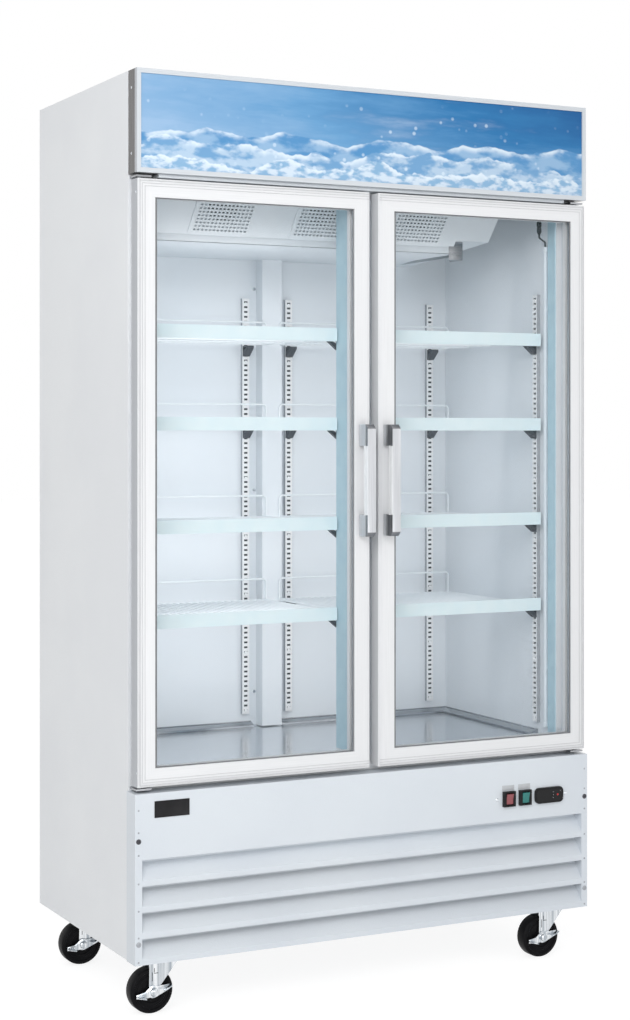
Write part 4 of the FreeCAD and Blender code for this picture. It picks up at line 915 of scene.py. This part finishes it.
def frame_ribs(hand):
    """Fine raised lines along the hinge side, the top and the bottom of a door frame, in a darker alloy
    that paints the shade along the profile's fine steps.
    """
    low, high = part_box(f"{hand}_door_frame")
    shapes = []
    hinge, free, inward = (low.x, high.x, 1) if hand == "left" else (high.x, low.x, -1)
    far = free - inward * RIB_STOP
    for inset in RIB_INSETS:
        inner = inset + RIB_WIDTH
        lower = [
            (hinge + inward * inset, low.z + inset), (far, low.z + inset), (far, low.z + inner),
            (hinge + inward * inner, low.z + inner),
        ]
        upper = [(x, low.z + high.z - z) for x, z in reversed(lower)]
        shapes.append(prism((lower + upper)[::inward], RIB_RISE))
    ribs = moved(joined(shapes), shift(0, low.y, 0) @ UPRIGHT)
    piece(f"{hand}_frame_ribs", [ribs], [RIB_PAINTED_SHADE], body=f"{hand}_door")


bow_handle("left")
bow_handle("right")
for hand in HANDS:
    glazing_bead(hand)
    frame_ribs(hand)

# Casters: stepped wheels, pierced forks and brake pedals

WHEEL_FACE = [
    (51, 11), (50.2, 14), (48, 15.6), (42, 16), (41, 14.2), (35, 13.8), (34, 15.2), (27, 15.4),
    (26, 13.4), (17, 13.2), (16, 15.8), (5, 15.8),
]
FORK_DOME = [
    (0, 4), (22, 4), (26, 3.2), (27, 1.6), (27, 0), (24, -1.6), (10, -1.6), (9, -7), (0, -7),
]
FORK_SLOTS = [((-2, -44), (-0.5, -24)), ((3, -27.5), (13, -26)), ((3, -25), (4.5, -15))]
FORK_SHEET = 3 * MM
FORK_INNER = 18 * MM
FORK_FOOT = 9 * MM
FORK_HEAD = (-8 * MM, 64 * MM)
CROWN_DROP = 4 * MM
SWIVEL_TRAIL = 30 * MM
PEDAL_SHEET = 3 * MM
PEDAL_FACE = 24.3 * MM
PEDAL_REACH = 40 * MM
PEDAL_HUB = 14 * MM
PADDLE = (22 * MM, 15 * MM, 2.6 * MM)
PADDLE_INSET = 9 * MM
PADDLE_TIPS = ((-1, -9 * MM, 14), (1, 8 * MM, -22))
NUT_DOME = [(0, 8), (5, 7.6), (8, 6.2), (9.2, 4), (9.2, 2.4), (10.5, 2.2), (10.5, 0), (0, 0)]
NUT_GAP = 0.3 * MM


def caster_wheel(corner):
    """Stepped wheel; gives back the middle of its axle."""
    node = f"caster_wheel_{corner}"
    axle = sum(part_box(node), Vector()) / 2
    profile = [*reversed(WHEEL_FACE), *((radius, -width) for radius, width in WHEEL_FACE)]
    wheel = moved(turned([*profile, profile[0]], 48), Matrix.Translation(axle) @ UPRIGHT)
    piece(f"stepped_wheel_{corner}", [wheel], [WHEEL_RUBBER], body=node, stands_for=[node])
    return axle


def caster_fork(corner, axle):
    """Two pierced legs under a domed swivel head."""
    node = f"caster_fork_{corner}"
    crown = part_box(node)[1].z - CROWN_DROP
    foot = arc((axle.x, axle.z), FORK_FOOT, 180, 360, 8)
    leg = [(axle.x + FORK_HEAD[1], crown), (axle.x + FORK_HEAD[0], crown), *foot]
    slots = []
    for corners in FORK_SLOTS:
        slots.append(rectangle(*[(axle.x + across * MM, crown + up * MM) for across, up in corners]))
    head = shift(axle.x + SWIVEL_TRAIL, axle.y, crown)
    shapes = [moved(turned(FORK_DOME, 32), head)]
    for front in (FORK_INNER, -FORK_INNER - FORK_SHEET):
        place = shift(0, axle.y - front, 0) @ UPRIGHT
        shapes.append(moved(drilled(leg, slots, FORK_SHEET), place))
    piece(f"pierced_fork_{corner}", shapes, [ZINC_WITH_PAINTED_REFLECTIONS], body=node, stands_for=[node])


def brake_pedal(corner, axle):
    """Strap round the axle with a paddle at each end, and the axle's domed nut."""
    strap = [
        (-PEDAL_REACH, -12 * MM), (-16 * MM, -13 * MM), *arc((0, 0), PEDAL_HUB, 240, 290, 5),
        (PEDAL_REACH, 2 * MM), (PEDAL_REACH, 13 * MM), *arc((0, 0), PEDAL_HUB, 60, 120, 5),
        (-20 * MM, 1 * MM), (-PEDAL_REACH, -3 * MM),
    ]
    flat = shift(0, PEDAL_SHEET, 0) @ UPRIGHT
    shapes = [moved(prism(strap, PEDAL_SHEET, 0.7 * MM), flat)]
    width, reach, sheet = PADDLE
    for side, level, tip in PADDLE_TIPS:
        paddle = block((-width / 2, -reach, -sheet / 2), (width / 2, PEDAL_SHEET, sheet / 2), 1.2 * MM)
        place = shift(side * (PEDAL_REACH - PADDLE_INSET), 0, level)
        shapes.append(moved(paddle, place @ Matrix.Rotation(math.radians(tip), 4, "Y")))
    shape = moved(joined(shapes), shift(axle.x, axle.y - PEDAL_FACE, axle.z))
    node = f"caster_pedal_{corner}"
    piece(f"brake_pedal_{corner}", [shape], [ZINC_WITH_PAINTED_REFLECTIONS], body=node, stands_for=[node])
    nut = moved(turned(NUT_DOME, 18), facing(FRONT, (axle.x, axle.y - PEDAL_FACE - NUT_GAP, axle.z)))
    piece(f"axle_nut_{corner}", [nut], [ZINC_WITH_PAINTED_REFLECTIONS], body=f"caster_fork_{corner}")


for end in ("front", "rear"):
    for hand in HANDS:
        corner = f"{end}_{hand}"
        axle = caster_wheel(corner)
        caster_fork(corner, axle)
        brake_pedal(corner, axle)

# Controls and plates on the base

base_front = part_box("louvre_panel")[0].y
PLATE_LOW, PLATE_HIGH = (-555 * MM, 443 * MM), (-471 * MM, 480 * MM)
PLATE_RISE, PLATE_RIM, PLATE_SINK = 1.5 * MM, 1.4 * MM, 0.5 * MM
SWITCH_PLATES = (352 * MM, 398 * MM)
SWITCH_PLATE_LEVEL = 426.5 * MM
SWITCH_PLATE_SIZE = (34.5 * MM, 0.5 * MM, 12.5 * MM)
WINDOW_RIM = (6 * MM, 4 * MM)
WINDOW_RISE, WINDOW_SINK = 0.6 * MM, 0.4 * MM
LIGHT_DOME = [(0, 1.0), (1.6, 0.8), (2.4, 0.3), (2.4, 0), (0, 0)]
LIGHT_INSET = 17 * MM
DOT_DOME = [(0, 0.5), (0.7, 0.3), (0.7, 0), (0, 0)]
DOT_PLACES = ((-30, 7), (-30, 0), (-30, -7), (-9, 9), (-2, -9))


def bare_plate():
    """Blank dark plate with a fine raised rim."""
    (left, bottom), (right, top) = PLATE_LOW, PLATE_HIGH
    plate = block((left, base_front - PLATE_RISE, bottom), (right, base_front, top), 0.4 * MM)
    plate.normal_update()
    face = [max(plate.faces, key=lambda face: -face.normal.y * face.calc_area())]
    bmesh.ops.inset_region(
        plate, faces=face, thickness=PLATE_RIM, depth=-PLATE_SINK, use_even_offset=True,
    )
    piece("bare_plate", [plate], [CONTROL_BLACK])


def switch_plates():
    """Small blank plates above the two switches."""
    width, rise, height = SWITCH_PLATE_SIZE
    shapes = []
    for left in SWITCH_PLATES:
        low = (left, base_front - rise, SWITCH_PLATE_LEVEL)
        shapes.append(block(low, (left + width, base_front, SWITCH_PLATE_LEVEL + height), 0.2 * MM))
    piece("switch_plates", shapes, [PLATE_GREY])


def rounded_case(low, high, radius):
    """Box whose corners are round when seen from the front."""
    shape = block(low, high)
    return eased(shape, edges_along(shape, 1, 0.5 * MM), radius, 6)


def controller_face():
    """Case with rounded ends, a glossy window and its indicator lights."""
    low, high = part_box("controller")
    case = rounded_case((low.x + 3 * MM, low.y, low.z), high, 11 * MM)
    piece("controller_case", [case], [CONTROL_BLACK], stands_for=["controller"])
    front = low.y - WINDOW_RISE
    across, up = WINDOW_RIM
    window_high = (high.x - across, low.y + WINDOW_SINK, high.z - up)
    window = rounded_case((low.x + across, front, low.z + up), window_high, 8 * MM)
    piece("controller_window", [window], [WINDOW_GLOSS])
    middle = (low.z + high.z) / 2
    light = moved(turned(LIGHT_DOME, 16), facing(FRONT, (high.x - LIGHT_INSET, front, middle)))
    piece("controller_light", [light], [LED_RED])
    dots = []
    for across, up in DOT_PLACES:
        place = (high.x + across * MM, front, middle + up * MM)
        dots.append(moved(turned(DOT_DOME, 10), facing(FRONT, place)))
    piece("controller_dots", dots, [LED_PALE])


bare_plate()
switch_plates()
controller_face()

# Wall lamps, floor coves, head strip, louvre returns and drain bracket

LAMP_CAP = [(0, 0), (5.4, 0), (6, 0.8), (6, 12), (4.4, 13)]
LAMP_INSET = 7 * MM
LAMP_FEET = (700 * MM, 1150 * MM, 1600 * MM)
FOOT_SIZE = (6 * MM, 12 * MM)
BATTEN = 16 * MM
PLUG_BODY = [
    (0, 0), (2.6, 0), (4, 3), (6, 6), (6, 16), (5, 17), (5, 20), (6.4, 21), (6.4, 30), (3, 34), (0, 34),
]
PLUG_INSET = 25 * MM
PLUG_LIFT = 30 * MM
LEAD = 2.2 * MM
LEAD_BEND = 5 * MM
COVE = [(0, 0), (22 * MM, 0), (22 * MM, 1.2 * MM), (4 * MM, 8 * MM), (4 * MM, 10 * MM), (0, 10 * MM)]
COVE_REACH = 545 * MM
COLUMN_EDGE = 44 * MM
HEAD_STRIP = (540 * MM, -289 * MM, -252 * MM, 8.5 * MM)
LOUVRE_COUNT = 4
LOUVRE_PITCH, LOUVRE_START = 58 * MM, 46 * MM
LOUVRE_DEPTH, LOUVRE_INSET = 28 * MM, 18 * MM
RETURN_HEIGHT = 8 * MM
FOLDED_SHEET = 1.5 * MM
BRACKET_ENDS = (LIP_END - 14 * MM, LIP_END + 26 * MM)
BRACKET_DROP = 14 * MM
BRACKET_DEPTH = 60 * MM


def wall_lamps():
    """Slim lamp tubes beside the openings, each with a plug on its lead, and the batten in the header."""
    low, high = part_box("lamp_tubes")
    lead_low, lead_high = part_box("lamp_leads")
    wall, top = lead_high.x, lead_low.z
    y = (lead_low.y + lead_high.y) / 2
    lamp_x, plug_x = wall - LAMP_INSET, wall - PLUG_INSET
    length = (top - low.z) / MM
    profile = LAMP_CAP + [(radius, length - height) for radius, height in reversed(LAMP_CAP)]
    routes = [
        [(lamp_x, 0), (lamp_x, 12 * MM), (plug_x, 22 * MM), (plug_x, 32 * MM)],
        [(plug_x, 62 * MM), (plug_x, 76 * MM), (wall, 80 * MM)],
    ]
    foot_width, foot_height = FOOT_SIZE
    tubes, leads = [], []
    for side in (-1, 1):
        tubes.append(moved(turned(profile, 16), shift(lamp_x * side, y, low.z)))
        left, right = sorted((lamp_x * side, wall * side))
        for level in LAMP_FEET:
            foot_low = (left, y - foot_width / 2, level)
            tubes.append(block(foot_low, (right, y + foot_width / 2, level + foot_height), MM))
        for route in routes:
            leads.append(bent_wire([(x * side, y, top + up) for x, up in route], LEAD, LEAD_BEND))
        plug = shift(plug_x * side, y, top + PLUG_LIFT)
        leads.append(moved(turned(PLUG_BODY, 16), plug))
    batten = block((low.x, low.y, high.z - BATTEN), (high.x, low.y + BATTEN, high.z), 3 * MM)
    piece("slim_lamps", [*tubes, batten], [LAMP], stands_for=["lamp_tubes"])
    piece("lamp_plugs", leads, [CONTROL_BLACK], stands_for=["lamp_leads"])


def floor_trims():
    """Polished coves where the floor meets the back and side walls."""
    _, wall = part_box("floor_pan")
    shapes = []
    for side in (-1, 1):
        for x, y, out, along, length in (
            (COLUMN_EDGE, wall.y, FRONT, (side, 0, 0), COVE_REACH - COLUMN_EDGE),
            (COVE_REACH, SIDE_STANDARD, (-side, 0, 0), (0, 1, 0), wall.y - SIDE_STANDARD),
        ):
            turn = Matrix((out, (0, 0, 1), along)).transposed().to_4x4()
            shape = moved(prism(COVE, length), shift(x * side, y, wall.z) @ turn)
            bmesh.ops.recalc_face_normals(shape, faces=shape.faces)
            shapes.append(shape)
    piece("floor_trims", shapes, [FLOOR_TRIM])


def head_strip():
    """Aluminium strip under the header, above the doors."""
    half, front, back, height = HEAD_STRIP
    strip = block((-half, front, header_low.z - height), (half, back, header_low.z), FOLD_EASE)
    piece("head_strip", [strip], [HEADER_ALUMINIUM])


def louvre_returns():
    """Turned-up edge at the back of each louvre blade."""
    low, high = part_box("louvre_panel")
    back = low.y + LOUVRE_DEPTH
    right = high.x - LOUVRE_INSET
    shapes = []
    for number in range(LOUVRE_COUNT):
        level = low.z + LOUVRE_START + number * LOUVRE_PITCH
        corner = (right, back + FOLDED_SHEET, level + RETURN_HEIGHT)
        shapes.append(block((low.x + LOUVRE_INSET, back, level), corner, 0.4 * MM))
    piece("louvre_returns", shapes, [BASE_WHITE])


def drain_bracket():
    """Folded galvanised bracket at the end of the drip lip."""
    back = cover_low.y + COVER_RUN
    front = back - FOLDED_SHEET
    left, right = BRACKET_ENDS
    bottom, top = cover_low.z - BRACKET_DROP, cover_low.z + TAIL_LIFT
    shapes = [
        block((left, front, bottom), (right, back, top), 0.5 * MM),
        block((right - FOLDED_SHEET, front, bottom), (right, back + BRACKET_DEPTH, top), 0.5 * MM),
    ]
    piece("drain_bracket", shapes, [HINGE_ZINC])


header_low, header_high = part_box("header_housing")
wall_lamps()
floor_trims()
head_strip()
louvre_returns()
drain_bracket()

# Screws and plugs: sizes of the heads and their levels in millimetres

back_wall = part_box("liner_walls")[1].y - 1.5 * MM
frame_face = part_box("face_frame")[0].y
POSTS = (-592.5 * MM, 592.5 * MM)
POST_LEVELS = (462, 413, 363, 300, 240, 181, 127)
CONTROL_COLUMNS = (338 * MM, 536 * MM)
CAP_INSET = 19 * MM
WALL_COLUMNS = (-34 * MM, 34 * MM)
WALL_LEVELS = (621, 1146, 1668)
DOOR_SIDE = 594 * MM
DOOR_SCREW_Y = -291 * MM
MULLION_COLUMNS = (-31 * MM, 31 * MM)


def fittings(name, head, finish, columns, y, levels, sideways=False, body="cabinet"):
    """Screw heads of one radius and rise, one for each column and level, on the front or the sides."""
    heads = []
    for x in columns:
        direction = (math.copysign(1, x), 0, 0) if sideways else FRONT
        heads += [moved(screw_head(*head), facing(direction, (x, y, level * MM))) for level in levels]
    piece(name, heads, [finish], body=body)


fittings("base_post_screws", (2.2, 1.1), PLUG_GREY, POSTS, base_front, POST_LEVELS)
fittings("base_post_plugs", (6, 2), CLIP_GREY, POSTS, base_front, [393.5])
fittings("base_low_plugs", (6, 2), PLUG_GREY, POSTS, base_front, [166.5])
fittings("control_screws", (4, 2), ZINC_WITH_PAINTED_REFLECTIONS, CONTROL_COLUMNS, base_front, [406])
fittings(
    "header_cap_screws", (3.2, 0.9), ZINC_WITH_PAINTED_REFLECTIONS, (header_low.x, header_high.x),
    header_low.y + CAP_INSET, (1914, 2060), sideways=True,
)
fittings("wall_screws", (4.2, 2), ZINC_WITH_PAINTED_REFLECTIONS, WALL_COLUMNS, back_wall, WALL_LEVELS)
for hand, x in zip(HANDS, (-DOOR_SIDE, DOOR_SIDE)):
    fittings(
        f"{hand}_door_screws", (3.4, 0.9), ZINC_WITH_PAINTED_REFLECTIONS, [x], DOOR_SCREW_Y, (544, 1827),
        sideways=True, body=f"{hand}_door",
    )
fittings("mullion_screws", (4, 1.6), ZINC_WITH_PAINTED_REFLECTIONS, MULLION_COLUMNS, frame_face, (537, 1834))

# Studio: pale floor, soft lamps, white surround

FLOOR_SIZE = 60.0
FLOOR_GLOW = 1.25
FLOOR_SHARE = 0.66
WORLD_FILL = 0.62


def light_path(nodes):
    """1 for the rays that see the surround itself rather than take light from it."""
    camera, glossy, clear = [
        nodes.node("ShaderNodeLightPath", output=f"Is {ray} Ray")
        for ray in ("Camera", "Glossy", "Transmission")
    ]
    return camera.larger(glossy.larger(clear))


def studio_floor():
    """Pale floor that keeps the shadow and fades into the white surround."""
    finish = Finish("studio_floor", Roughness=0.9)
    finish.set(Base_Color=finish.mix(finish.noise(0.8), (0.84, 0.84, 0.84), (0.86, 0.86, 0.86)))
    glow = finish.node("ShaderNodeEmission", None, {"Color": (1, 1, 1, 1), "Strength": FLOOR_GLOW})
    shader = Wire(finish, finish.shader.outputs[0])
    shown = finish.node("ShaderNodeMixShader", None, [light_path(finish) * FLOOR_SHARE, shader, glow])
    finish.join(finish.tree.nodes["Material Output"].inputs["Surface"], shown)
    shape = bmesh.new()
    bmesh.ops.create_grid(shape, x_segments=1, y_segments=1, size=FLOOR_SIZE / 2)
    placed("studio_floor", meshed("studio_floor", shape, [finish.material]))


def studio_world():
    """White where it is seen, softer where it gives light."""
    world = bpy.data.worlds.new("studio")
    bpy.context.scene.world = world
    world.use_nodes = True
    surround = Nodes(world.node_tree)
    backdrop = world.node_tree.nodes["Background"]
    surround.join(backdrop.inputs["Color"], (1, 1, 1))
    surround.join(backdrop.inputs["Strength"], WORLD_FILL + light_path(surround) * (1 - WORLD_FILL))


def soft_lamp(name, place, aim, size, power):
    """Rectangular lamp at a place, turned towards its aim."""
    lamp = bpy.data.lights.new(name, "AREA")
    lamp.shape = "RECTANGLE"
    lamp.size, lamp.size_y = size
    lamp.energy = power
    holder = placed(name, lamp)
    holder.location = place
    holder.rotation_euler = (Vector(aim) - Vector(place)).to_track_quat("-Z", "Y").to_euler()
    return holder


def photograph_camera():
    """Camera fitted to the straight edges of the photographed cabinet."""
    camera = bpy.data.cameras.new("photograph")
    camera.sensor_width = 36
    camera.lens = 68.675
    camera.shift_y = -0.0775
    holder = placed("photograph", camera)
    holder.location = (-2.1906, -4.2964, 1.2989)
    holder.rotation_euler = (math.radians(90), 0, math.radians(-26.98))
    bpy.context.scene.camera = holder


studio_floor()
studio_world()
soft_lamp("key", (-3.2, -3.6, 3.2), (0, 0, 1.1), (2.6, 2.6), 90)
soft_lamp("fill", (3.4, -3.2, 2.0), (0, 0, 1.0), (2.4, 2.4), 8)
soft_lamp("low", (-0.6, -3.4, 0.35), (0, -0.3, 0.4), (2.8, 0.6), 16)
narrow = soft_lamp("high", (-1.3, -3.2, 2.5), (-0.4, -0.3, 1.95), (1.6, 0.8), 4.5)
narrow.data.spread = math.radians(80)
for name, x, aim_x, power in (("left_bay", -0.29, -0.33, 1.9), ("right_bay", 0.27, 0.14, 1.3)):
    inside = soft_lamp(name, (x, -0.1, 1.16), (aim_x, 0.29, 1.2), (0.42, 1.06), power)
    inside.visible_camera = inside.visible_glossy = inside.visible_transmission = False
photograph_camera()
bpy.context.scene.view_settings.view_transform = "Standard"
